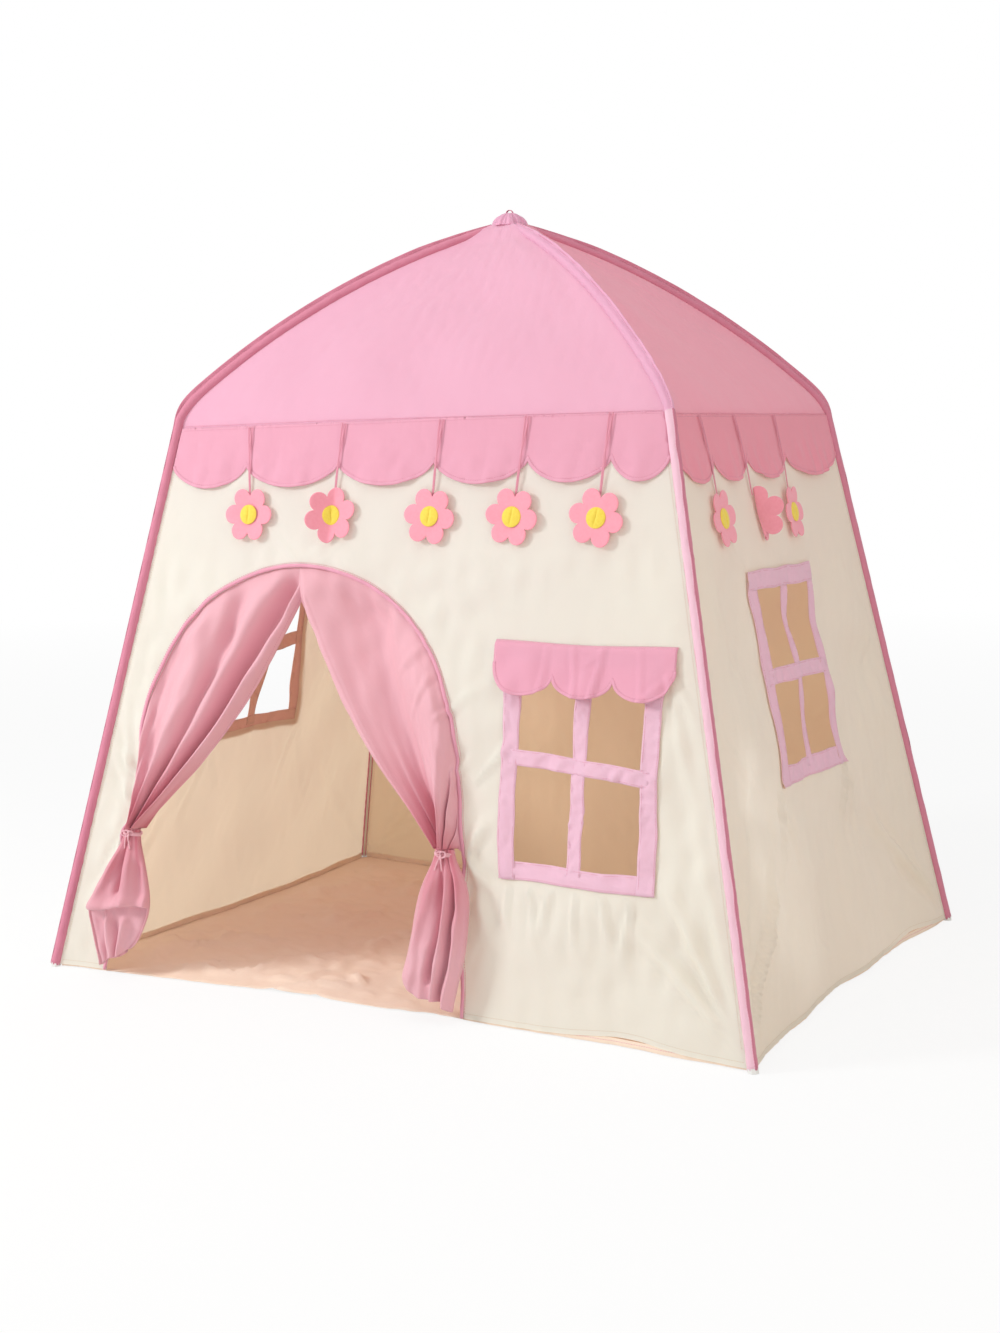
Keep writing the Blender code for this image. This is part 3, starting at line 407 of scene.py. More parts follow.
def make_piece(name: str, patch: Patch, finish: "Finish", body: str = SHELTER,
               thick: float = 0.0, offset: float = 0.0, hold: bool = True) -> Object:
    """Object from a patch, with its finish, its flat places as a UV map and its body.

    Args:
        name: name of the piece.
        patch: its mesh.
        finish: finish whose material and slot it takes.
        body: body that it rides on.
        thick: thickness that a Solidify modifier gives it.
        offset: side of the surface on which that thickness lies, from -1 to 1.
        hold: whether it rides on its body now.

    Returns:
        The object.
    """
    mesh = bpy.data.meshes.new(name)
    mesh.from_pydata([tuple(point) for point in patch.points.tolist()], [], patch.faces)
    mesh.update()
    layer = mesh.uv_layers.new(name="cloth")
    index = np.empty(len(mesh.loops), np.int32)
    mesh.loops.foreach_get("vertex_index", index)
    layer.data.foreach_set("uv", patch.flat[index].astype(np.float32).ravel())
    mesh.shade_smooth()
    mesh.materials.append(finish.material())
    item = shown(name, mesh)
    if thick:
        solid = item.modifiers.new("thickness", "SOLIDIFY")
        solid.thickness, solid.offset = thick, offset
    if hold:
        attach(item, body)
    LOG.info("made %s with %d faces", name, len(patch.faces))
    return item


def inside(points: Array, loops: Sequence[Array]) -> Array:
    """Even-odd test of points against closed loops.

    Args:
        points: flat points.
        loops: outlines, with those of holes among them.

    Returns:
        Whether each point lies inside.
    """
    result = np.zeros(len(points), bool)
    for loop in loops:
        for (ua, va), (ub, vb) in zip(loop, np.roll(loop, -1, axis=0)):
            crossed = (va > points[:, 1]) != (vb > points[:, 1])
            if vb != va:
                crossed &= points[:, 0] < ua + (ub - ua) * (points[:, 1] - va) / (vb - va)
                result ^= crossed
    return result


def spaced(line: Array, step: float, closed: bool = False) -> Array:
    """Points about a step apart along a line, which keeps its own corners.

    Args:
        line: corners of the line.
        step: greatest distance between points.
        closed: whether it runs back to its first corner.

    Returns:
        The points, without the first one again at the end.
    """
    ends = np.roll(line, -1, axis=0) if closed else line[1:]
    parts = []
    for a, b in zip(line, ends):
        count = max(1, math.ceil(np.linalg.norm(b - a) / step))
        parts.append(a + (b - a) * (np.arange(count) / count)[:, None])
    if not closed:
        parts.append(line[-1:])
    return np.concatenate(parts)


def cut_flat(outline: Array, holes: Sequence[Array], step: float,
             rim_step: Optional[float] = None) -> tuple[Array, list[Face]]:
    """Flat cut piece with a fine, even net of triangles.

    Args:
        outline: its outline.
        holes: outlines of its holes.
        step: side of the net.
        rim_step: distance of points along the edges, or None for the step.

    Returns:
        Points and triangles.
    """
    loops = [spaced(loop, rim_step or step, closed=True) for loop in [outline, *holes]]
    edges: list[tuple[int, int]] = []
    first = 0
    for loop in loops:
        last = first + len(loop) - 1
        edges += [(index, index + 1) for index in range(first, last)] + [(last, first)]
        first = last + 1
    rim = np.concatenate(loops)
    low, high = rim.min(0), rim.max(0)
    counts = np.maximum(np.round((high - low) / step), 1).astype(int)
    us, vs = (low[k] + (high[k] - low[k]) * (np.arange(1, counts[k]) / counts[k]) for k in range(2))
    net = np.stack(np.meshgrid(us, vs), -1).reshape(-1, 2)
    net = net[inside(net, loops)]
    keep = np.ones(len(net), bool)
    for point in rim:
        keep &= np.sum((net - point) ** 2, axis=1) > (0.45 * step) ** 2
    points = np.concatenate([rim, net[keep]])
    found = delaunay_2d_cdt([Vector(point) for point in points.tolist()], edges, [], 0, 1e-7)
    flat, triangles = np.array([tuple(point) for point in found[0]]), np.array(found[2])
    faces = []
    for face in triangles[inside(flat[triangles].mean(axis=1), loops)].tolist():
        a, b, c = flat[face]
        turn = (b[0] - a[0]) * (c[1] - a[1]) - (b[1] - a[1]) * (c[0] - a[0])
        if abs(turn) > 1e-10:
            faces.append(tuple(face) if turn > 0 else tuple(reversed(face)))
    return flat, faces


def cut_cloth(outline: Array, holes: Sequence[Array], step: float, drape: Drape, lift: float,
              rim_step: Optional[float] = None) -> Patch:
    """Cut piece of cloth laid on a side."""
    flat, faces = cut_flat(outline, holes, step, rim_step)
    return Patch(drape.lay(flat[:, 0], flat[:, 1], lift), faces, flat)


def grid_faces(lines: int, wide: int, wrap: bool) -> list[Face]:
    """Four-sided faces between lines of so many points, round to the first point if it wraps."""
    faces = []
    for line in range(lines - 1):
        for step in range(wide if wrap else wide - 1):
            a, b = line * wide + step, line * wide + (step + 1) % wide
            faces.append((a, b, b + wide, a + wide))
    return faces


def grid_patch(columns: int, rows: int, place: Callable[[Array, Array], Array],
               size: Place, wrap: bool = False) -> Patch:
    """Grid of points from shares along two directions.

    Args:
        columns: steps along the first direction.
        rows: steps along the second.
        place: gives points for two arrays of shares.
        size: flat width and length, in metres.
        wrap: whether the last column is the first one again.

    Returns:
        The patch.
    """
    wide = columns if wrap else columns + 1
    shares = np.meshgrid(np.arange(wide) / columns, np.arange(rows + 1) / rows)
    c, r = (grid.ravel() for grid in shares)
    flat = np.stack([c * size[0], r * size[1]], -1)
    return Patch(place(c, r), grid_faces(rows + 1, wide, wrap), flat)


def joined(patches: Sequence[Patch]) -> Patch:
    """Several patches as one."""
    faces: list[Face] = []
    start = 0
    for patch in patches:
        faces += [tuple(index + start for index in face) for face in patch.faces]
        start += len(patch.points)
    points, flat = (np.concatenate([getattr(patch, part) for patch in patches])
                    for part in ("points", "flat"))
    return Patch(points, faces, flat)


def tangents(points: Array) -> Array:
    """Directions along a line of points."""
    return unit(np.gradient(points, axis=0))


def swept(points: Array, normals: Array, section: Array, scales: Array | float = 1.0) -> Patch:
    """Closed outline of (beside, out) drawn along a line.

    Args:
        points: line that it follows.
        normals: directions out, one for each point.
        section: outline, counter-clockwise with out upwards.
        scales: size of the outline at each point.

    Returns:
        The swept skin with its ends closed.
    """
    along = tangents(points)
    beside = unit(np.cross(along, normals))
    out = np.cross(beside, along)
    count, sides = len(points), len(section)
    x, y = ((np.ones(count) * scales)[:, None, None] * section[None, :, k:k + 1] for k in range(2))
    rings = points[:, None] + beside[:, None] * x + out[:, None] * y
    flat = np.stack(np.meshgrid(travelled(points), travelled(section), indexing="ij"), -1).reshape(-1, 2)
    faces = [(a, d, c, b) for a, b, c, d in grid_faces(count, sides, True)]
    faces += [tuple(range(sides)), tuple(reversed(range((count - 1) * sides, count * sides)))]
    return Patch(rings.reshape(-1, 3), faces, flat)


def round_section(radius: float, sides: int, flatten: float = 1.0) -> Array:
    """Round or flattened outline."""
    turn = TAU * np.arange(sides) / sides
    return np.stack([radius * np.cos(turn), radius * flatten * np.sin(turn)], -1)


def band_section(half: float, thick: float) -> Array:
    """Flat band with rounded edges, from its foot up."""
    edge = thick * 0.5
    return np.array([(-half, 0), (half, 0), (half + edge, edge), (half, thick),
                     (half * 0.5, thick * 1.06), (0, thick * 1.1), (-half * 0.5, thick * 1.06),
                     (-half, thick), (-half - edge, edge)])


@dataclass(frozen=True)
class Stitching:
    """A row of lock stitches: short raised lengths of thread with a dip between them."""

    pitch: float = 0.0044
    length: float = 0.0033
    girth: float = 0.00042

    def patch(self, points: Array, normals: Array) -> Patch:
        """Stitches along a line that lies on the cloth.

        Args:
            points: line that they follow.
            normals: directions out of the cloth there.

        Returns:
            All the stitches of the row.
        """
        travel = travelled(points)
        count = max(1, int(travel[-1] / self.pitch))
        middle = (np.arange(count) + 0.5) * travel[-1] / count

        def at(values: Array, where: Array) -> Array:
            """Values read along the line."""
            return np.stack([np.interp(where, travel, values[:, k]) for k in range(3)], -1)

        centre = at(points, middle)
        along = unit(at(points, middle + SLOPE_STEP / 4) - at(points, middle - SLOPE_STEP / 4))
        out = unit(at(normals, middle))
        beside = np.cross(along, out)
        shape = ((-0.5, 0, -0.3), (-0.25, -1, 0.6), (-0.25, 1, 0.6), (-0.25, 0, 1.3),
                 (0.25, -1, 0.6), (0.25, 1, 0.6), (0.25, 0, 1.3), (0.5, 0, -0.3))
        rings = [centre + along * (far * self.length) + beside * (side * self.girth)
                 + out * (high * self.girth) for far, side, high in shape]
        skin = ((0, 1, 3), (0, 3, 2), (1, 4, 6, 3), (3, 6, 5, 2), (4, 7, 6), (6, 7, 5))
        every = np.stack(rings, 1).reshape(-1, 3)
        faces = [tuple(8 * index + k for k in face) for index in range(count) for face in skin]
        return Patch(every, faces, np.zeros((len(every), 2)))


STITCHING = Stitching()


def sewn_on(drape: Drape, line: Array, lift: float) -> Patch:
    """Row of stitches along a flat line on a side."""
    u, v = line[:, 0], line[:, 1]
    return STITCHING.patch(drape.lay(u, v, lift), drape.normals(u, v))


def sewn_rows(drape: Drape, lines: Sequence[Array], lift: float) -> Patch:
    """Rows of stitches along flat lines with long straight runs."""
    return joined([sewn_on(drape, spaced(np.asarray(line, float), 0.006), lift) for line in lines])


def inset_line(line: Array, amount: float) -> Array:
    """Line moved to its left by an amount, corner by corner."""
    before = np.concatenate([line[:1], line[:-1]])
    along = unit(np.concatenate([line[1:], line[-1:]]) - before)
    return line + np.stack([-along[:, 1], along[:, 0]], -1) * amount


# Shader effects


class Tree:
    """Adds and joins the nodes of one tree."""

    def __init__(self, tree: NodeTree) -> None:
        """Keeps the tree."""
        self.tree = tree

    def feed(self, node: Node, inputs: dict) -> Node:
        """Joins sockets to a node, or sets plain values, by input name or number."""
        for name, value in inputs.items():
            if isinstance(value, Socket):
                self.tree.links.new(value, node.inputs[name])
            else:
                node.inputs[name].default_value = value
        return node

    def node(self, kind: str, inputs: Optional[dict] = None, **settings) -> Node:
        """New shader node.

        Args:
            kind: its type, without the words that all shader nodes start with.
            inputs: sockets or plain values, by input name or number.
            **settings: its own properties.

        Returns:
            The node.
        """
        made = self.tree.nodes.new("ShaderNode" + kind)
        for name, value in settings.items():
            setattr(made, name, value)
        return self.feed(made, inputs or {})

    def math(self, operation: str, a, b=0.0, c=0.0, clamp: bool = False) -> Socket:
        """Result of a Math node."""
        given = {0: a, 1: b, 2: c}
        return self.node("Math", given, operation=operation, use_clamp=clamp).outputs[0]

    def vector(self, operation: str, a, b) -> Socket:
        """Result of a Vector Math node."""
        return self.node("VectorMath", {0: a, 1: b}, operation=operation).outputs[0]

    def ramp(self, value: Socket, low: float, high: float, start: float = 0.0, stop: float = 1.0) -> Socket:
        """Value carried from one range to another."""
        given = {0: value, 1: low, 2: high, 3: start, 4: stop}
        return self.node("MapRange", given).outputs[0]

    def mix(self, share, a, b) -> Socket:
        """Mixed colour."""
        a, b = (value if isinstance(value, Socket) else (*value, 1) for value in (a, b))
        return self.node("Mix", {0: share, 6: a, 7: b}, data_type="RGBA").outputs[2]

    def noise(self, vector: Socket, scale, detail: float = 3.0, rough: float = 0.5) -> Socket:
        """Value of a noise texture."""
        given = {"Vector": vector, "Scale": scale, "Detail": detail, "Roughness": rough}
        return self.node("TexNoise", given).outputs["Fac"]

    def bump(self, height: Socket, strength: float, distance: float, **more: Socket) -> Socket:
        """Normal of a Bump node."""
        given = {"Height": height, "Strength": strength, "Distance": distance, **more}
        return self.node("Bump", given).outputs[0]


def effect(name: str, outputs: Sequence[str], **inputs: float) -> Callable:
    """Turns a function that draws nodes into one that gives them as a node group, built once.

    Args:
        name: name of the group.
        outputs: names of the values it puts out.
        **inputs: first values of its number inputs, which come after a Vector.

    Returns:
        The decorator.
    """

    def decorator(draw: Callable[..., Sequence[Socket]]) -> Callable[[], NodeTree]:
        """Function that gives the group."""

        def group() -> NodeTree:
            """The group, drawn when it is first asked for."""
            if name in bpy.data.node_groups:
                return bpy.data.node_groups[name]
            made = bpy.data.node_groups.new(name, "ShaderNodeTree")
            made.interface.new_socket("Vector", in_out="INPUT", socket_type="NodeSocketVector")
            for label, value in inputs.items():
                socket = made.interface.new_socket(label, in_out="INPUT", socket_type="NodeSocketFloat")
                socket.default_value = value
            for label in outputs:
                made.interface.new_socket(label, in_out="OUTPUT", socket_type="NodeSocketFloat")
            tree, entry = Tree(made), made.nodes.new("NodeGroupInput").outputs
            results = draw(tree, *[entry[label] for label in ("Vector", *inputs)])
            tree.feed(made.nodes.new("NodeGroupOutput"), dict(zip(outputs, results)))
            return made

        return group

    return decorator


@effect("plain_weave", ("Height",), Thread=0.0008)
def weave_effect(tree: Tree, vector: Socket, thread: Socket) -> Sequence[Socket]:
    """Plain weave: threads over and under each other, uneven in thickness."""
    wander = tree.noise(vector, 160.0, 2.0)
    wander = tree.math("MULTIPLY", tree.math("SUBTRACT", wander, 0.5), 0.9)
    split = tree.node("SeparateXYZ", {0: vector})
    x, y = (tree.math("ADD", tree.math("DIVIDE", split.outputs[k], thread), wander) for k in range(2))
    warp, weft = (tree.math("ABSOLUTE", tree.math("SINE", tree.math("MULTIPLY", way, math.pi)))
                  for way in (x, y))
    cell = tree.math("ADD", tree.math("FLOOR", x), tree.math("FLOOR", y))
    over = tree.math("PINGPONG", cell, 1.0)
    under = tree.math("MULTIPLY", weft, tree.math("SUBTRACT", 1.0, over))
    return [tree.math("ADD", tree.math("MULTIPLY", warp, over), under)]


@effect("uneven_yarn", ("Streaks", "Patches"))
def slub_effect(tree: Tree, vector: Socket) -> Sequence[Socket]:
    """Uneven yarns: thin streaks along both directions of the cloth, and soft patches."""
    along, across = (tree.noise(tree.vector("MULTIPLY", vector, drawn), 1.0, 2.0)
                     for drawn in ((18.0, 620.0, 1.0), (620.0, 18.0, 1.0)))
    streaks = tree.math("MULTIPLY", tree.math("ADD", along, across), 0.5)
    return [streaks, tree.noise(vector, 14.0, 3.0)]


@effect("folding_creases", ("Height",), Scale=22.0)
def crumple_effect(tree: Tree, vector: Socket, scale: Socket) -> Sequence[Socket]:
    """Fine creases that are left from folding, as a height."""
    warp = tree.node("TexNoise", {"Vector": vector, "Scale": 9.0, "Detail": 2.0})
    bent = tree.vector("MULTIPLY", warp.outputs["Color"], (0.06, 0.06, 0.06))
    soft = tree.noise(tree.vector("ADD", vector, bent), scale, 3.0, 0.45)
    ridge = tree.math("ABSOLUTE", tree.math("SUBTRACT", soft, 0.5))
    sharp = tree.math("SUBTRACT", 1.0, tree.math("MULTIPLY", ridge, 5.0), clamp=True)
    return [tree.math("ADD", tree.math("MULTIPLY", sharp, 0.35), tree.math("MULTIPLY", soft, 0.65))]


@effect("felt_fibres", ("Height", "Mottle"))
def fuzz_effect(tree: Tree, vector: Socket) -> Sequence[Socket]:
    """Pressed fibres of felt: a fine matted height and a mottled mask."""
    fine = tree.noise(vector, 2600.0, 2.0, 0.6)
    matted = tree.noise(tree.vector("MULTIPLY", vector, (1.0, 2.6, 1.7)), 700.0, 4.0, 0.65)
    height = tree.math("ADD", tree.math("MULTIPLY", fine, 0.4), tree.math("MULTIPLY", matted, 0.6))
    return [height, tree.noise(vector, 240.0, 3.0)]


# Finishes


@dataclass(frozen=True)
class Finish:
    """Common part of every finish, which mottles its colour with a shade."""

    name: str
    slot: str
    colour: Colour
    roughness: float
    shade: Colour

    made: ClassVar[dict[str, Material]] = {}

    def material(self) -> Material:
        """Its material, built once."""
        if self.name not in self.made:
            material = bpy.data.materials.new(self.name)
            material.use_nodes = True
            self.dress(Tree(material.node_tree), material.node_tree.nodes["Principled BSDF"])
            self.made[self.name] = material
        return self.made[self.name]

    def dress(self, tree: Tree, shader: Node) -> None:
        """Joins the finish's nodes to its shader.

        Args:
            tree: the material's nodes.
            shader: its Principled shader.
        """
        raise NotImplementedError


@dataclass(frozen=True)
class ClothFinish(Finish):
    """Woven cloth with uneven yarns, fine creases and a little light coming through."""

    thread: float = 0.0009
    weave_depth: float = 0.0001
    crease_depth: float = 0.0012
    crease_scale: float = 22.0
    streaks: float = 0.3
    sheen: float = 0.15
    through: float = 0.25
    # Painted shade: colour of the inside faces, warmer for the light that comes through the walls
    back: Optional[Colour] = None
    # Painted shade: a deeper colour laid in streaks near the tie, where the cloth bunches
    deep: Optional[Colour] = None

    def dress(self, tree: Tree, shader: Node) -> None:
        """Weave, yarn colour, creases, sheen and light through the cloth, with painted shade between
        threads, in gathers and on the inside faces.
        """
        at = tree.node("UVMap", uv_map="cloth").outputs[0]
        weave, yarn, creases = (
            tree.node("Group", {"Vector": at, **more}, node_tree=group()).outputs
            for group, more in ((weave_effect, {"Thread": self.thread}), (slub_effect, {}),
                                (crumple_effect, {"Scale": self.crease_scale})))
        spread = tree.ramp(yarn["Streaks"], 0.35, 0.65)
        patches = tree.ramp(yarn["Patches"], 0.3, 0.7)
        share = tree.math("MULTIPLY", tree.math("ADD", spread, patches), self.streaks / 2)
        tint = tree.mix(share, self.colour, self.shade)
        # Painted shade between the threads: the hollows of the weave take the shade colour
        painted_gap_shade = tree.math("MULTIPLY", tree.math("SUBTRACT", 1.0, weave["Height"]), 0.16)
        tint = tree.mix(painted_gap_shade, tint, self.shade)
        # Painted shade in the gathers: streaks of the deep colour near the tie and the tail's neck
        if self.deep is not None:
            near = tree.ramp(tree.node("SeparateXYZ", {0: at}).outputs[1], 0.0, 0.17, 1.0, 0.0)
            layers = tree.noise(tree.vector("MULTIPLY", at, (26.0, 4.0, 1.0)), 1.0, 2.0)
            layers = tree.math("MULTIPLY_ADD", tree.ramp(layers, 0.35, 0.62), 0.5, 0.45)
            tint = tree.mix(tree.math("MULTIPLY", near, layers), tint, self.deep)
        # Painted shade: the inside faces take the warmer back colour
        if self.back is not None:
            tint = tree.mix(tree.node("NewGeometry").outputs["Backfacing"], tint, self.back)
        fine = tree.bump(weave["Height"], 0.6, self.weave_depth)
        folds = tree.bump(creases["Height"], 0.7, self.crease_depth, Normal=fine)
        rough = tree.math("MULTIPLY_ADD", spread, 0.08, self.roughness - 0.04)
        tree.feed(shader, {"Base Color": tint, "Roughness": rough, "Normal": folds,
                           "Sheen Weight": self.sheen, "Sheen Roughness": 0.5, "Specular IOR Level": 0.25})
        glow = tree.node("BsdfTranslucent", {"Color": tint, "Normal": folds})
        both = tree.node("MixShader", {0: self.through, 1: shader.outputs[0], 2: glow.outputs[0]})
        tree.feed(tree.tree.nodes["Material Output"], {"Surface": both.outputs[0]})


@dataclass(frozen=True)
class FeltFinish(Finish):
    """Pressed felt, matt and a little fuzzy."""

    def dress(self, tree: Tree, shader: Node) -> None:
        """Matted fibres and mottled colour."""
        at = tree.node("TexCoord").outputs["Object"]
        fuzz = tree.node("Group", {"Vector": at}, node_tree=fuzz_effect()).outputs
        share = tree.math("MULTIPLY", tree.ramp(fuzz["Mottle"], 0.3, 0.75), 0.5)
        tree.feed(shader, {"Base Color": tree.mix(share, self.colour, self.shade),
                           "Normal": tree.bump(fuzz["Height"], 0.55, 0.0006),
                           "Roughness": self.roughness, "Sheen Weight": 0.35, "Specular IOR Level": 0.2})


@dataclass(frozen=True)
class PlasticFinish(Finish):
    """Extruded or moulded plastic with faint draw lines and a light haze."""

    def dress(self, tree: Tree, shader: Node) -> None:
        """Clouded colour, uneven gloss and a fine surface grain."""
        at = tree.node("TexCoord").outputs["Object"]
        clouds = tree.noise(at, 60.0, 3.0)
        tint = tree.mix(tree.math("MULTIPLY", clouds, 0.3), self.colour, self.shade)
        rough = tree.math("MULTIPLY_ADD", clouds, 0.16, self.roughness - 0.08)
        grain = tree.bump(tree.noise(at, 900.0, 2.0), 0.3, 0.0001)
        tree.feed(shader, {"Base Color": tint, "Roughness": rough, "Normal": grain, "Coat Weight": 0.1})


@dataclass(frozen=True)
class Finishes:
    """Every finish of the tent; those on the far sides, right and back, are warmer copies with painted
    shade.
    """

    # The cotton's back colour paints warm shade on the inside faces
    cotton: Finish = ClothFinish("cream_canvas", "cream_cotton", (0.95, 0.985, 0.92), 0.92,
                                 (0.93, 0.95, 0.88), thread=0.001, weave_depth=0.00014,
                                 crease_depth=0.0018, crease_scale=14.0, sheen=0.1, through=0.36,
                                 back=(0.91, 0.79, 0.62))
    # Painted shade: a warmer, darker copy of the cotton for the right and back sides, with a darker inside
    painted_shade_cotton: Finish = replace(cotton, name="painted_shade_cream_canvas", colour=(0.94, 0.94, 0.86),
                                 shade=(0.91, 0.89, 0.78), back=(0.85, 0.65, 0.44))
    trim: Finish = ClothFinish("trim_weave", "trim_cloth", (0.9, 0.45, 0.58), 0.8, (0.83, 0.36, 0.49),
                               thread=0.0006, weave_depth=0.00007, crease_depth=0.001,
                               crease_scale=26.0, streaks=0.25, sheen=0.25, through=0.18)
    # Painted shade: a warmer copy of the trim for the right and back sides
    painted_shade_trim: Finish = replace(trim, name="painted_shade_trim_weave", colour=(0.95, 0.38, 0.48),
                               shade=(0.89, 0.3, 0.4))
    roof: Finish = replace(trim, name="roof_weave", slot="roof_cloth", colour=(0.915, 0.53, 0.7),
                           roughness=0.78, shade=(0.88, 0.44, 0.61), weave_depth=0.00006,
                           crease_scale=12.0, streaks=0.22, through=0.3)
    # Painted shade: a warmer copy of the roof cloth for the right and back sides
    painted_shade_roof: Finish = replace(roof, name="painted_shade_roof_weave", colour=(0.95, 0.46, 0.59),
                               shade=(0.9, 0.38, 0.5))
    strip: Finish = replace(trim, name="window_strip", slot="frame_cloth", colour=(0.93, 0.61, 0.75),
                            shade=(0.86, 0.5, 0.65), weave_depth=0.00008, crease_depth=0.0012,
                            crease_scale=40.0, streaks=0.3, sheen=0.2, through=0.15)
    # Painted shade: a warmer, darker copy of the strip for the frame's face inside the tent
    strip_painted_inside_shade: Finish = replace(strip, name="window_strip_painted_inside_shade", colour=(0.86, 0.58, 0.47),
                                  shade=(0.78, 0.46, 0.38))
    sleeve: Finish = ClothFinish("sleeve_binding", "sleeve_cloth", (0.7, 0.25, 0.35), 0.82,
                                 (0.56, 0.17, 0.25), thread=0.0008, crease_scale=34.0, sheen=0.2,
                                 through=0.03)
    # Painted light: a paler copy of the sleeve cloth for the lit side of the front corner
    painted_light_sleeve: Finish = replace(sleeve, name="painted_light_sleeve_binding", colour=(0.9, 0.58, 0.69),
                                  shade=(0.82, 0.46, 0.57))
    # Its deep colour is painted shade in the gathers by the tie
    curtain: Finish = ClothFinish("curtain_weave", "curtain_cloth", (0.9, 0.52, 0.585), 0.66,
                                  (0.85, 0.43, 0.5), thread=0.0005, weave_depth=0.00005,
                                  crease_depth=0.001, crease_scale=18.0, streaks=0.22, sheen=0.3,
                                  through=0.2, deep=(0.71, 0.17, 0.24))
    floor: Finish = ClothFinish("floor_weave", "floor_cloth", (0.92, 0.77, 0.65), 0.88,
                                (0.88, 0.67, 0.5), thread=0.0008, weave_depth=0.00008,
                                crease_depth=0.0035, crease_scale=9.0, streaks=0.45, sheen=0.1,
                                through=0.0)
    cord: Finish = ClothFinish("soft_cord", "tie_cord", (0.88, 0.5, 0.56), 0.85, (0.72, 0.32, 0.38),
                               thread=0.0011, weave_depth=0.0003, crease_depth=0.0004,
                               crease_scale=300.0, streaks=0.35, sheen=0.25, through=0.0)
    ribbon: Finish = ClothFinish("ribbon_weave", "ribbon", (0.8, 0.33, 0.43), 0.75, (0.66, 0.21, 0.3),
                                 thread=0.0004, weave_depth=0.00006, crease_depth=0.0004,
                                 crease_scale=120.0, streaks=0.25, sheen=0.3, through=0.1)
    thread_pink: Finish = ClothFinish("pink_thread", "trim_cloth", (0.8, 0.34, 0.45), 0.7,
                                      (0.62, 0.22, 0.32), thread=0.0004, streaks=0.4, through=0.0)
    thread_cream: Finish = replace(thread_pink, name="cream_thread", slot="cream_cotton",
                                   colour=(0.84, 0.78, 0.66), shade=(0.68, 0.6, 0.48))
    petals: Finish = FeltFinish("pink_felt_sheet", "pink_felt", (0.955, 0.37, 0.46), 0.95,
                                (0.9, 0.3, 0.38))
    centres: Finish = FeltFinish("yellow_felt_sheet", "yellow_felt", (0.9, 0.7, 0.1), 0.95,
                                 (0.8, 0.56, 0.05))
    pole: Finish = PlasticFinish("white_tube", "pole_plastic", (0.82, 0.82, 0.8), 0.42,
                                 (0.7, 0.7, 0.68))
    fitting: Finish = PlasticFinish("grey_fitting", "fitting_plastic", (0.55, 0.56, 0.58), 0.5,
                                    (0.46, 0.47, 0.5))

    def of(self, side: Side, name: str) -> Finish:
        """Finish of a side; the right and the back take their copy with painted shade."""
        return getattr(self, name if side in (Side.FRONT, Side.LEFT) else "painted_shade_" + name)


FINISH = Finishes()


# Sleeves, walls and roof


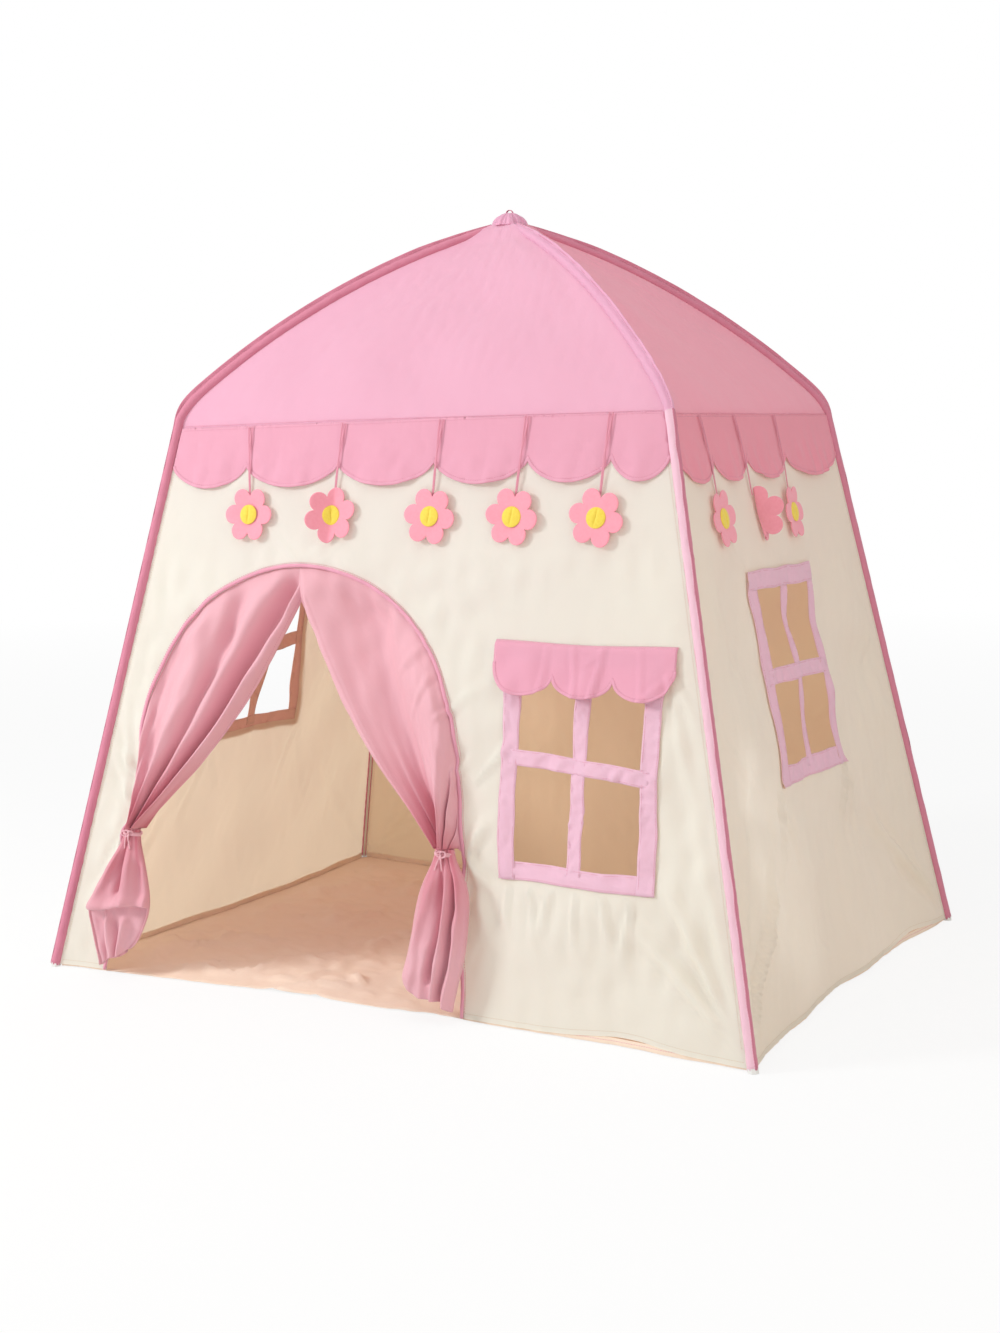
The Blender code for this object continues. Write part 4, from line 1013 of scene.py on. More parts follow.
@dataclass(frozen=True)
class CornerSleeve:
    """Bound sleeve round a pole, with a fin of seam cloth standing out of the corner."""

    corner: str
    radius: float = 0.0083
    fin_thick: float = 0.0018
    fin_leg: float = 0.001
    fin_roof: float = 0.0066
    foot_gap: float = 0.0036
    apex_end: float = 0.022
    thick: float = 0.0007
    rings: int = 260
    sides: int = 22

    def paint(self, item: Object, sides: int) -> None:
        """Gives the inside of the corner the lining's cloth; the front corner, which faces the light, takes
        lighter cloth: painted light.

        Args:
            item: the sleeve.
            sides: number of faces round it.
        """
        for finish in (FINISH.cotton, FINISH.painted_light_sleeve, FINISH.roof):
            item.data.materials.append(finish.material())
        across, away = CORNER_SIGNS[self.corner]
        low, high = (0.37, 0.59) if across * away < 0 else (0.41, 0.63)
        lit = self.corner == "front_right"
        for polygon in item.data.polygons:
            line, column = divmod(polygon.index, sides)
            around = column / self.sides
            inner = low < around < high and not 0.46 < around < 0.54
            # Painted light on the lit front corner: pale cloth on its side towards the light, the roof's
            # cloth on its roof part
            outer = 3 if lit and line > self.rings // 2 else 2 if lit and 0.64 <= around < 1 else 0
            polygon.material_index = 1 if inner else outer

    def build(self) -> None:
        """The sleeve and its two rows of stitches."""
        place = np.linspace(self.foot_gap, 2 - self.apex_end / FORM.slopes(Side.FRONT)[1], self.rings)
        points = FORM.corner(self.corner, place)
        along = tangents(points)
        across = unit(np.cross(UP, FORM.foot(self.corner)))
        out = unit(np.cross(np.broadcast_to(across, along.shape), along))
        travel = travelled(points)
        seed = 31 + list(CORNER_SIGNS).index(self.corner)
        pucker = Ripples(seed, 0.02)
        fading = np.clip((place[-1] - place) / 0.2, 0, 1)
        fin = self.fin_leg + (self.fin_roof - self.fin_leg) * eased((place - 0.965) / 0.08) * fading
        first = math.asin(self.fin_thick / 2 / self.radius)
        turn = np.linspace(first, TAU - first, self.sides)
        rings = []
        for x, y in zip(np.cos(turn), np.sin(turn)):
            bump = 0.00022 * pucker(travel, np.full(len(travel), math.atan2(y, x) * self.radius * 2))
            rings.append((x * (self.radius + bump), y * (self.radius + bump)))
        wave = 0.0006 * Ripples(seed + 9, 0.045)(travel, np.zeros(len(travel)))
        for sign, share in ((-1, 0.45), (-1, 0.9), (-0.5, 1.0), (0.5, 1.0), (1, 0.9), (1, 0.45)):
            rings.append((self.radius + fin * share, wave * share + sign * self.fin_thick / 2))
        skin = np.stack([points + out * x[:, None] + across * y[:, None] for x, y in rings], 1)
        sides = len(rings)
        around = np.cumsum(np.full(sides, TAU * self.radius / sides))
        flat = np.stack(np.meshgrid(travel, around, indexing="ij"), -1).reshape(-1, 2)
        node = "corner_sleeve_" + self.corner
        patch = Patch(skin.reshape(-1, 3), grid_faces(len(points), sides, True), flat)
        item = make_piece(node + "_cloth", patch, FINISH.sleeve, thick=self.thick, offset=-1)
        self.paint(item, sides)
        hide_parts(node)
        rows = []
        for sign in (-1, 1):
            lift = sign * (self.fin_thick / 2 + 0.0002)
            line = points + out * (self.radius + fin * 0.35)[:, None] + across * (wave + lift)[:, None]
            rows.append(STITCHING.patch(line, np.broadcast_to(across * sign, line.shape)))
        make_piece(node + "_stitches", joined(rows), FINISH.thread_pink)


@dataclass(frozen=True)
class Window:
    """Sizes of a side's window."""

    shift: float
    sill: float = 0.358
    width: float = 0.29
    height: float = 0.35

    @property
    def middle(self) -> float:
        """Place of its middle along the side."""
        return self.shift

    def box(self, inset: float) -> tuple[float, float, float, float]:
        """Left, right, foot and head of its outline."""
        half = self.width / 2 - inset
        low, high = self.sill + inset, self.sill + self.height - inset
        return self.middle - half, self.middle + half, low, high


@dataclass(frozen=True)
class FrontWindow(Window):
    """Sizes of the front window and of its awning, which keeps a margin to the corner."""

    shift: float = 0.0
    sill: float = 0.232
    width: float = 0.272
    height: float = 0.366
    awning_width: float = 0.312
    awning_margin: float = 0.033
    awning_raise: float = 0.005

    @property
    def seam(self) -> float:
        """Height of the awning's seam."""
        return self.sill + self.height + self.awning_raise

    @property
    def middle(self) -> float:
        """Place of its middle along the front."""
        margin = FORM.reach(Side.FRONT, self.seam) - self.awning_margin
        return margin - self.awning_width / 2 + self.shift


FRONT_WINDOW = FrontWindow()
WINDOW = {Side.FRONT: FRONT_WINDOW, Side.RIGHT: Window(-0.016), Side.LEFT: Window(0.016)}


@dataclass(frozen=True)
class Doorway:
    """Sizes of the doorway arch."""

    left_margin: float = 0.1065
    window_gap: float = 0.0315
    taper: float = 0.105
    spring_height: float = 0.4
    rise: float = 0.309
    knee_height: float = 0.25
    hang_in: float = 0.024

    def sizes(self) -> Place:
        """Place of its middle, and half of its width where the arch springs."""
        left = self.left_margin - FORM.base_width / 2
        right = FRONT_WINDOW.middle - FRONT_WINDOW.width / 2 - self.window_gap
        return (left + right) / 2, (right - left - self.taper) / 2

    def half_width(self, v: Array) -> Array:
        """Half of its width at each height."""
        spring = self.sizes()[1]
        low = spring + self.taper / 2 * (1 - v / self.spring_height)
        high = spring * np.sqrt(np.clip(1 - ((v - self.spring_height) / self.rise) ** 2, 0, 1))
        return np.where(v < self.spring_height, low, high)

    def reach(self, v: float) -> float:
        """Half of its width at one height."""
        return float(self.half_width(row(v))[0])

    def arch(self, inset: float, low: float, steps: int = 72) -> Array:
        """Outline from the left foot over the arch to the right foot, which hangs in a little.

        Args:
            inset: distance inside the doorway's edge.
            low: height of its feet.
            steps: number of parts of the arch.

        Returns:
            Its flat points.
        """
        centre, spring = self.sizes()
        foot, knee = self.reach(low) - inset, self.reach(self.knee_height) - inset
        turn = math.pi * (1 - np.arange(steps + 1) / steps)
        u = centre + (spring - inset) * np.cos(turn)
        v = self.spring_height + (self.rise - inset) * np.sin(turn)
        right = [(centre + knee, self.knee_height), (centre + foot - self.hang_in, low)]
        return np.concatenate([[(centre - foot, low)], np.stack([u, v], -1), right])


DOOR = Doorway()


# Strength of a wall's folds, and height of the waves in its hem in metres
FOLD_STRENGTH = {Side.FRONT: (2.6, 0.003), Side.RIGHT: (2.0, 0.0014), Side.BACK: (1.4, 0.002),
                 Side.LEFT: (1.0, 0.0014)}


@dataclass(frozen=True)
class WallRelief:
    """Tension folds, soft billows and hem waves of one wall."""

    side: Side
    billow: float = 0.004
    ripple: float = 0.0005
    pucker: float = 0.0007
    pucker_pitch: float = 0.021
    awning_calm: float = 0.85

    def __call__(self, u: Array, v: Array) -> Array:
        """Height of the cloth over its smooth surface.

        Args:
            u: places along the side.
            v: places up the cloth.

        Returns:
            One height for each place.
        """
        seed = 500 + 10 * self.side.rank
        half = FORM.half_width(self.side, v)
        held = eased((half - np.abs(u)) / 0.06)
        hem = eased((0.14 - v) / 0.14)
        calm = (1 - 0.9 * eased((v - 0.64) / 0.16)) * (1 - 0.55 * hem)
        strength, wave = FOLD_STRENGTH[self.side]
        height = self.billow * Ripples(seed, 0.24)(u, v) * held * calm
        height += self.ripple * strength * Ripples(seed + 1, 0.07, 0.5)(u, v) * held * calm
        for crease in wall_creases(self.side):
            height += strength * crease.height(u, v) * held * calm
        height += wave * hem * held * Ripples(seed + 2, 0.17)(u, np.zeros_like(u))
        if self.side is Side.FRONT:
            beside = (u - FRONT_WINDOW.middle) / 0.2
            above = (v - FRONT_WINDOW.sill - FRONT_WINDOW.height - 0.03) / 0.08
            height *= 1 - self.awning_calm * np.exp(-beside ** 4 - above ** 4)
        pull = np.exp(-np.maximum(half - np.abs(u), 0) / 0.012)
        waver = 3 * Ripples(seed + 3, 0.2)(u, v)
        return height + self.pucker * pull * np.cos(v * TAU / self.pucker_pitch + waver)


def fan(start: Place, ends: Sequence[Place], depth: float,
        width: float) -> list[Crease]:
    """Folds that spread from one held point."""
    return [Crease(start, end, depth * (1 - 0.12 * index), width, 0.004 * (-1) ** index)
            for index, end in enumerate(ends)]


@cache
def wall_creases(side: Side) -> tuple[Crease, ...]:
    """Listed folds of a wall, and a few seeded small ones.

    Args:
        side: side of the shelter.

    Returns:
        The folds, in the order in which they are added up.
    """
    half_low, half_high = FORM.reach(side, 0.0), FORM.reach(side, FORM.seam_height)
    found: list[Crease] = []
    if side is Side.FRONT:
        found += fan((0.64, 0.015), ((0.47, 0.3), (0.415, 0.2), (0.52, 0.42)), 0.0042, 0.02)
        found += fan((0.15, 0.262), ((0.198, 0.345), (0.215, 0.195), (0.2, 0.1)), 0.0027, 0.021)
        found += fan((-0.508, 0.262), ((-0.6, 0.08), (-0.56, 0.04)), 0.003, 0.018)
        found += fan((-0.52, 0.3), ((-0.57, 0.47), (-0.548, 0.56)), 0.0022, 0.016)
        for index, u in enumerate((0.222, 0.262, 0.3, 0.345, 0.392, 0.44)):
            end = (u + 0.02 * math.sin(2.1 * index), 0.135 - 0.03 * (index % 2))
            found.append(Crease((u, 0.222), end, 0.0022, 0.014))
        found += fan((0.484, 0.56), ((0.56, 0.44), (0.548, 0.33)), 0.0022, 0.018)
        found += fan((-0.19, 0.715), ((-0.33, 0.84), (-0.02, 0.85)), 0.0016, 0.016)
    elif side is Side.BACK:
        found += fan((-0.62, 0.02), ((-0.3, 0.42), (-0.2, 0.26), (-0.4, 0.55)), 0.0045, 0.022)
        found += fan((0.62, 0.02), ((0.28, 0.4), (0.16, 0.24)), 0.0045, 0.022)
        found += fan((-0.46, 0.88), ((-0.2, 0.62), (-0.3, 0.52)), 0.0026, 0.02)
        found += fan((0.46, 0.88), ((0.22, 0.6), (0.1, 0.7)), 0.0026, 0.02)
    else:
        sign = 1 if side is Side.RIGHT else -1
        for start, ends, depth, width in (
            ((-0.485, 0.02), ((-0.16, 0.345), (-0.245, 0.26), (-0.3, 0.44)), 0.0045, 0.02),
            ((0.485, 0.02), ((0.15, 0.34), (0.26, 0.215)), 0.004, 0.02),
            ((-0.16, 0.712), ((-0.3, 0.86), (-0.225, 0.83)), 0.0022, 0.013),
            ((0.125, 0.712), ((0.255, 0.85),), 0.002, 0.013),
            ((-0.161, 0.36), ((-0.225, 0.17), (-0.12, 0.19)), 0.0036, 0.013),
            ((0.129, 0.36), ((0.06, 0.2), (0.185, 0.165)), 0.0036, 0.013),
        ):
            found += fan((sign * start[0], start[1]), [(sign * a, b) for a, b in ends], depth, width)
    draw = np.random.default_rng(100 + side.rank)
    for _ in range(16):
        u, v = draw.uniform(-0.9, 0.9) * half_low, draw.uniform(0.03, 0.62)
        turn = draw.uniform(0.2, 1.1) * (-1 if u > 0 else 1) + math.pi / 2
        reach = draw.uniform(0.06, 0.18)
        end = (u + reach * math.cos(turn), v + reach * math.sin(turn))
        found.append(Crease((u, v), end, draw.uniform(0.0008, 0.0018), draw.uniform(0.009, 0.016)))
    for index in range(18):
        u = half_high * (-0.94 + 1.88 * index / 17) + draw.uniform(-0.012, 0.012)
        drop = draw.uniform(0.05, 0.11)
        found.append(Crease((u, 0.93), (u + draw.uniform(-0.02, 0.02), 0.93 - drop), 0.001, 0.008))
    return tuple(found)


# Place along a side where its hem has ridden up, and by how much
HEM_RIDES = {Side.FRONT: (0.44, 0.0105), Side.RIGHT: (0.34, 0.01), Side.LEFT: (-0.25, 0.006)}


@dataclass(frozen=True)
class Wall:
    """One wall of cream canvas, with its doorway or window cut out."""

    side: Side
    hem_lift: float = 0.004
    hem_stitch: float = 0.008
    tuck: float = 0.004
    frame_overlap: float = 0.012
    edge_stitch: float = 0.0135
    thick: float = 0.0009

    def hem(self, start: float, stop: float) -> Array:
        """Lower edge between two places, which has ridden up a little on some sides."""
        u = np.linspace(start, stop, 48)
        middle, height = HEM_RIDES.get(self.side, (0.0, 0.0))
        v = self.hem_lift + height * np.exp(-((u - middle) / 0.085) ** 2)
        return np.stack([u, v], -1)

    def outline(self) -> tuple[Array, list[Array]]:
        """Outline and holes of the cut piece."""
        top = FORM.seam_height - 0.0005
        low, high = (FORM.reach(self.side, v) - self.tuck for v in (self.hem_lift, top))
        left, right = SEAM_RISE[self.side]
        corners = [(low, self.hem_lift), (high, top + right), (-high, top + left), (-low, self.hem_lift)]
        if self.side is Side.FRONT:
            arch = DOOR.arch(0, self.hem_lift)
            outline = np.concatenate([corners, arch, self.hem(arch[-1, 0], low)[1:-1]])
        else:
            outline = np.concatenate([corners[:3], self.hem(-low, low)[:-1]])
        holes = []
        if self.side in WINDOW:
            start, stop, foot, head = WINDOW[self.side].box(self.frame_overlap)
            holes.append(np.array([(start, foot), (stop, foot), (stop, head), (start, head)]))
        return outline, holes

    def build(self) -> Drape:
        """The wall, its hem and its stitches.

        Returns:
            The wall's surface, which the trims on it share.
        """
        drape = Drape(self.side, WallRelief(self.side))
        front = self.side is Side.FRONT
        patch = cut_cloth(*self.outline(), 0.0065 if front else 0.0085, drape, 0.0)
        node = "wall_" + self.side.value
        item = make_piece(node + "_cloth", patch, FINISH.of(self.side, "cotton"))
        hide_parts(node)
        2 * FORM.reach(self.side, 0.0)
        patch.area()
        sewn = self.hem_lift + self.hem_stitch
        half = FORM.reach(self.side, sewn) - sewn
        runs = [self.hem(-half, half) + (0, self.hem_stitch)]
        if front:
            reach, centre = DOOR.reach(sewn) + self.hem_stitch, DOOR.sizes()[0]
            runs = [np.array([(-half, sewn), (centre - reach, sewn)]),
                    self.hem(centre + reach - DOOR.hang_in, half) + (0, self.hem_stitch)]
        v = np.linspace(0.03, FORM.seam_height - 0.02, 60)
        for sign in (-1, 1):
            u = sign * (FORM.half_width(self.side, v) - self.edge_stitch)
            runs.append(np.stack([u, v], -1))
        make_piece(node + "_stitches", sewn_rows(drape, runs, self.thick / 2), FINISH.thread_cream)
        return drape


@dataclass(frozen=True)
class RoofPanel:
    """One roof panel, taut between two bowed poles."""

    side: Side
    hub_rise: float = 0.0105
    billow: float = 0.0022
    gather: float = 0.0008
    gather_pitch: float = 0.043
    thick: float = 0.0009
    tuck: float = 0.004
    columns: int = 90
    rows: int = 64

    def relief(self, u: Array, v: Array) -> Array:
        """Faint billows, and gathers over the seam."""
        seed, top = 900 + 10 * self.side.rank, sum(FORM.slopes(self.side))
        broad, small = Ripples(seed, 0.22)(u, v), Ripples(seed + 1, 0.05, 0.4)(u, v)
        half = FORM.half_width(self.side, v)
        held = eased((half - np.abs(u)) / 0.05) * eased((v - FORM.seam_height) / 0.05)
        seam = np.exp(-np.maximum(v - FORM.seam_height, 0) / 0.035)
        gathers = seam * np.cos(u * TAU / self.gather_pitch + 2.5 * broad)
        over_hub = self.hub_rise * eased((v - top + 0.075) / 0.055)
        return held * (self.billow * broad + 0.0004 * small) + self.gather * gathers + over_hub

    def build(self) -> None:
        """The panel, and the stitches along its foot."""
        drape = Drape(self.side, self.relief)
        start, stop = FORM.seam_height + 0.0004, sum(FORM.slopes(self.side)) - 0.012

        def place(c: Array, r: Array) -> Array:
            """Points of the panel."""
            v = start + (stop - start) * r
            u = (FORM.half_width(self.side, v) - self.tuck) * (2 * c - 1)
            return drape.lay(u, v + FORM.rise(self.side, u) * (1 - r) ** 4)

        wide = 2 * FORM.reach(self.side, start)
        patch = grid_patch(self.columns, self.rows, place, (wide, stop - start))
        node = "roof_panel_" + self.side.value
        item = make_piece(node + "_cloth", patch, FINISH.of(self.side, "roof"))
        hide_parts(node)
        half = wide / 2 - 0.014
        left, right = SEAM_RISE[self.side]
        line = np.array([(-half, start + left + 0.0045), (half, start + right + 0.0045)])
        make_piece(node + "_stitches", sewn_rows(drape, [line], self.thick / 2), FINISH.thread_pink)


CUSP_SHARES = {
    Side.FRONT: (-0.683, -0.28, 0.12, 0.49, 0.805),
    Side.RIGHT: (-0.64, -0.23, 0.27),
    Side.BACK: (-0.667, -0.333, 0.0, 0.333, 0.667),
    Side.LEFT: (-0.27, 0.23, 0.64),
}


def scallop(left: float, right: float, steps: int) -> list[Place]:
    """Places from one cusp to just before the next, each with its turn round the scallop."""
    turns = [math.pi * index / steps for index in range(steps)]
    return [((left + right) / 2 - (right - left) / 2 * math.cos(turn), turn) for turn in turns]


@dataclass(frozen=True)
class Valance:
    """Scalloped valance under the eave seam, with a bound edge."""

    side: Side
    cusp_height: float = 0.88
    drop: float = 0.038
    follow: float = 0.75
    end_gap: float = 0.0095
    swell: float = 0.0062
    lift: float = 0.0019
    thick: float = 0.0008
    step: float = 0.006

    def cusps(self) -> list[float]:
        """Places of its cusps, with its two ends."""
        half = FORM.reach(self.side, FORM.slopes(self.side)[0])
        end = FORM.reach(self.side, self.cusp_height) - self.end_gap
        return [-end] + [share * half for share in CUSP_SHARES[self.side]] + [end]

    def edge(self, steps: int = 18) -> Array:
        """Scalloped edge from left to right."""
        points = []
        cusps = self.cusps()
        for left, right in zip(cusps, cusps[1:]):
            for u, turn in scallop(left, right, steps):
                fall = 0.62 * math.sin(turn) + 0.38 * math.sin(turn) ** 2
                points.append((u, self.cusp_height - self.drop * fall))
        edge = np.array([*points, (cusps[-1], self.cusp_height)])
        edge[:, 1] += self.follow * FORM.rise(self.side, edge[:, 0])
        return edge

    def relief(self, u: Array, v: Array) -> Array:
        """Height over the wall: scallops stand out a little between the drawn-in cusps."""
        cusps, seed = self.cusps(), 700 + 10 * self.side.rank
        below = np.maximum(FORM.seam_height + FORM.rise(self.side, u) - v, 0)
        hang = np.clip(below / (FORM.seam_height - self.cusp_height + self.drop), 0, 1)
        swell = np.zeros_like(u)
        for left, right in zip(cusps, cusps[1:]):
            share = np.clip((u - left) / (right - left), 0, 1)
            swell = np.maximum(swell, np.sin(math.pi * share) ** 2)
        held = eased((cusps[-1] - np.abs(u)) / 0.02)
        soft, small = Ripples(seed, 0.09, 0.6)(u, v), Ripples(seed + 1, 0.024)(u, v)
        height = hang ** 1.4 * (self.swell * swell + 0.0018 * soft) * held + 0.0005 * hang * small * held
        return np.maximum(height, 0) + 0.0005 * np.exp(-below / 0.012) * np.cos(u * TAU / 0.017)

    def build(self) -> None:
        """The valance, its bound edge and its stitches."""
        drape, edge, above = Drape(self.side, self.relief), self.edge(), self.lift + self.thick / 2
        top = FORM.reach(self.side, FORM.seam_height) - self.end_gap
        head, sewn = FORM.seam_height + 0.0016, FORM.seam_height - 0.003
        left, right = SEAM_RISE[self.side]
        outline = np.concatenate([edge, [(top, head + right), (-top, head + left)]])
        patch = cut_cloth(outline, [], self.step, drape, self.lift, rim_step=0.004)
        node = "valance_" + self.side.value
        finish = FINISH.of(self.side, "trim")
        item = make_piece(node + "_cloth", patch, finish, thick=self.thick)
        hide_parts(node)
        u, v = spaced(inset_line(edge, 0.0016), 0.004).T
        hem = swept(drape.lay(u, v, self.lift - self.thick / 2 - 0.0003), drape.normals(u, v),
                    band_section(0.0021, self.thick + 0.0009))
        binding = make_piece(node + "_binding", hem, finish)
        inner = spaced(inset_line(edge, 0.0045), 0.004)
        inner = inner[np.abs(inner[:, 0]) < self.cusps()[-1] - 0.002]
        line = np.array([(-top + 0.004, sewn + left), (top - 0.004, sewn + right)])
        rows = joined([sewn_on(drape, inner, above), sewn_rows(drape, [line], above)])
        stitches = make_piece(node + "_stitches", rows, FINISH.thread_pink)
        patch.area()


@dataclass(frozen=True)
class FloorSheet:
    """Thin floor cloth, creased and lying loose, with its edge turned up inside the hems."""

    drapes: dict[Side, Drape]
    corner_cut: float = 0.018
    inset: float = 0.0022
    step: float = 0.011
    thick: float = 0.0007
    base: float = 0.0012
    ridge: float = 0.0105
    pocket: float = 0.0016
    swell: float = 0.0035
    turned: float = 0.0115
    seam: float = 0.0075

    def build(self) -> None:
        """The floor sheet, cut to the walls' hems."""
        outline = []
        for side, drape in self.drapes.items():
            half = FORM.reach(side, 0.0) - self.corner_cut
            u = np.linspace(-half, half, 60)
            points = drape.lay(u, np.full_like(u, 0.002)) - FORM.outward(side) * self.inset
            outline.append(points[:, :2])
        flat, faces = cut_flat(np.concatenate(outline), [], self.step)
        x, y = flat.T
        broad, crisp, fine = (Ripples(seed, length)(x, y)
                              for seed, length in ((41, 0.24), (42, 0.11), (43, 0.06)))
        ridges = np.exp(-np.abs(crisp) * 2.2) * eased(broad * 0.5 + 0.5)
        width, depth = FORM.base_width / 2, FORM.base_depth / 2
        held = eased(np.minimum(width - np.abs(x), depth - np.abs(y)) / 0.1)
        height = self.ridge * ridges + self.pocket * np.abs(fine) + self.swell * eased(broad)
        patch = Patch(np.stack([x, y, self.base + held * height], -1), faces, flat)
        item = make_piece("floor_sheet_cloth", patch, FINISH.floor, thick=self.thick)
        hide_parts("floor_sheet")
        patch.area()
        self.seams()

    def seams(self) -> None:
        """Turned-up edge of the floor, sewn inside the hem of each wall."""
        patches, rows = [], []
        for side, drape in self.drapes.items():
            half = FORM.reach(side, 0.0) - 0.012
            runs = [(-half, half)]
            if side is Side.FRONT:
                centre, reach = DOOR.sizes()[0], DOOR.reach(0.0)
                runs = [(-half, centre - reach), (centre + reach - DOOR.hang_in, half)]
            for left, right in runs:
                length = right - left

                def place(c: Array, r: Array) -> Array:
                    """Points of the edge: c runs along the hem, r up from the floor."""
                    lift = -0.001 - 0.0016 * (1 - r) ** 2
                    points = drape.lay(left + length * c, 0.0008 + self.turned * r, lift)
                    points[:, 2] = np.maximum(points[:, 2], 0.0008)
                    return points

                patches.append(grid_patch(max(8, int(length / 0.008)), 6, place, (length, self.turned)))
                line = np.array([(left + 0.004, self.seam), (right - 0.004, self.seam)])
                rows.append(sewn_rows(drape, [line], -0.0014))
        make_piece("floor_turned_edge", joined(patches), FINISH.floor)
        make_piece("floor_seam_stitches", joined(rows), FINISH.thread_pink)


# Windows and awning


@dataclass(frozen=True)
class WindowFrame:
    """Sewn window frame of folded strips, with two crossed bars."""

    side: Side
    drape: Drape
    thick: float = 0.0009
    lift: float = 0.0016
    crown: float = 0.0006

    def sizes(self) -> tuple[float, float, float, float]:
        """Width of the strips and of the bars, drift of their edges, and tilt of the level bar."""
        front = self.side is Side.FRONT
        return (0.029, 0.0255, 0.001, 0.01) if front else (0.032, 0.0265, 0.0016, 0.003)

    def strip_patch(self, start: Place, end: Place, width: float,
                    lift: float, seed: int) -> tuple[Patch, list[Patch]]:
        """One folded strip along a line, and its two rows of stitches.

        Args:
            start: middle of its first end.
            end: middle of its last end.
            width: its width.
            lift: its height over the wall.
            seed: seed of its unevenness.

        Returns:
            Its patch, and those of its stitches.
        """
        a, b = np.array(start), np.array(end)
        length = float(np.linalg.norm(b - a))
        along = (b - a) / length
        beside = np.array([-along[1], along[0]])
        waver, pucker = Ripples(seed, 0.12), Ripples(seed + 1, 0.016)
        strip, _, drift, _ = self.sizes()
        twist = 0.0008 * (1.0 if width < strip else 0.2)

        def flat_place(c: Array, r: Array) -> Array:
            """Flat places, with slightly uneven edges."""
            across = (c - 0.5) * width * (1 + 0.03 * waver(r * length, c * 0.2))
            across = across + drift * waver(r * length, r * 0 + 0.5)
            return a + along * (r * length)[:, None] + beside * across[:, None]

        def place(c: Array, r: Array) -> Array:
            """Points of the strip, puckered between its stitches."""
            far, edge = r * length, np.minimum(c, 1 - c)
            crown = self.crown * (eased(edge / 0.12) + pucker(far, c * width) * eased(edge / 0.2))
            crown += twist * np.cos(TAU * (far + 0.8 * c * width) / 0.027) * eased(edge / 0.3)
            return self.drape.lay(*flat_place(c, r).T, lift + crown)

        patch = grid_patch(10, max(8, int(length / 0.005)), place, (width, length))
        r = np.linspace(0.01, 0.99, 40)
        top = lift + self.thick / 2 + 0.0004
        return patch, [sewn_on(self.drape, flat_place(np.full_like(r, share), r), top)
                       for share in (0.1, 0.9)]

    def build(self) -> None:
        """The frame and its stitches."""
        left, right, low, high = WINDOW[self.side].box(0)
        strip, bar, _, tilt = self.sizes()
        half = strip / 2
        near, far, foot, head = left + half, right - half, low + half, high - half
        u, v = (left + right) / 2, (low + high) / 2
        first, second, third = (self.lift + self.thick * layer for layer in range(3))
        runs = (
            ((u, foot), (u, head), bar, first),
            ((near, v + tilt), (far, v - tilt), bar, second),
            ((left + half / 2, foot), (right - half / 2, foot), strip, first),
            ((near, low), (near, head), strip, second),
            ((far, low), (far, head), strip, second),
            ((left, head), (right, head), strip, third),
        )
        patches, rows = zip(*[self.strip_patch(*run, 60 + 10 * self.side.rank + index)
                              for index, run in enumerate(runs)])
        total = sum(width * math.dist(start, end) for start, end, width, _ in runs)
        node = "window_frame_" + self.side.value
        # The inner face of the frame takes the warmer, darker copy of the strip cloth: painted shade from
        # the light inside the tent
        item = make_piece(node + "_strips", joined(patches), FINISH.strip_painted_inside_shade, thick=self.thick)
        item.data.materials.append(FINISH.strip.material())
        item.modifiers["thickness"].material_offset = 1
        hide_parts(node)
        stitches = make_piece(node + "_stitches", joined(sum(rows, [])), FINISH.thread_pink)


# Place of a fold along the awning, its lean and its height in metres
AWNING_FOLDS = ((-0.062, 0.1, 0.0022), (-0.018, -0.1, 0.0034), (0.034, 0.18, 0.0034),
                (0.095, -0.12, 0.0018))


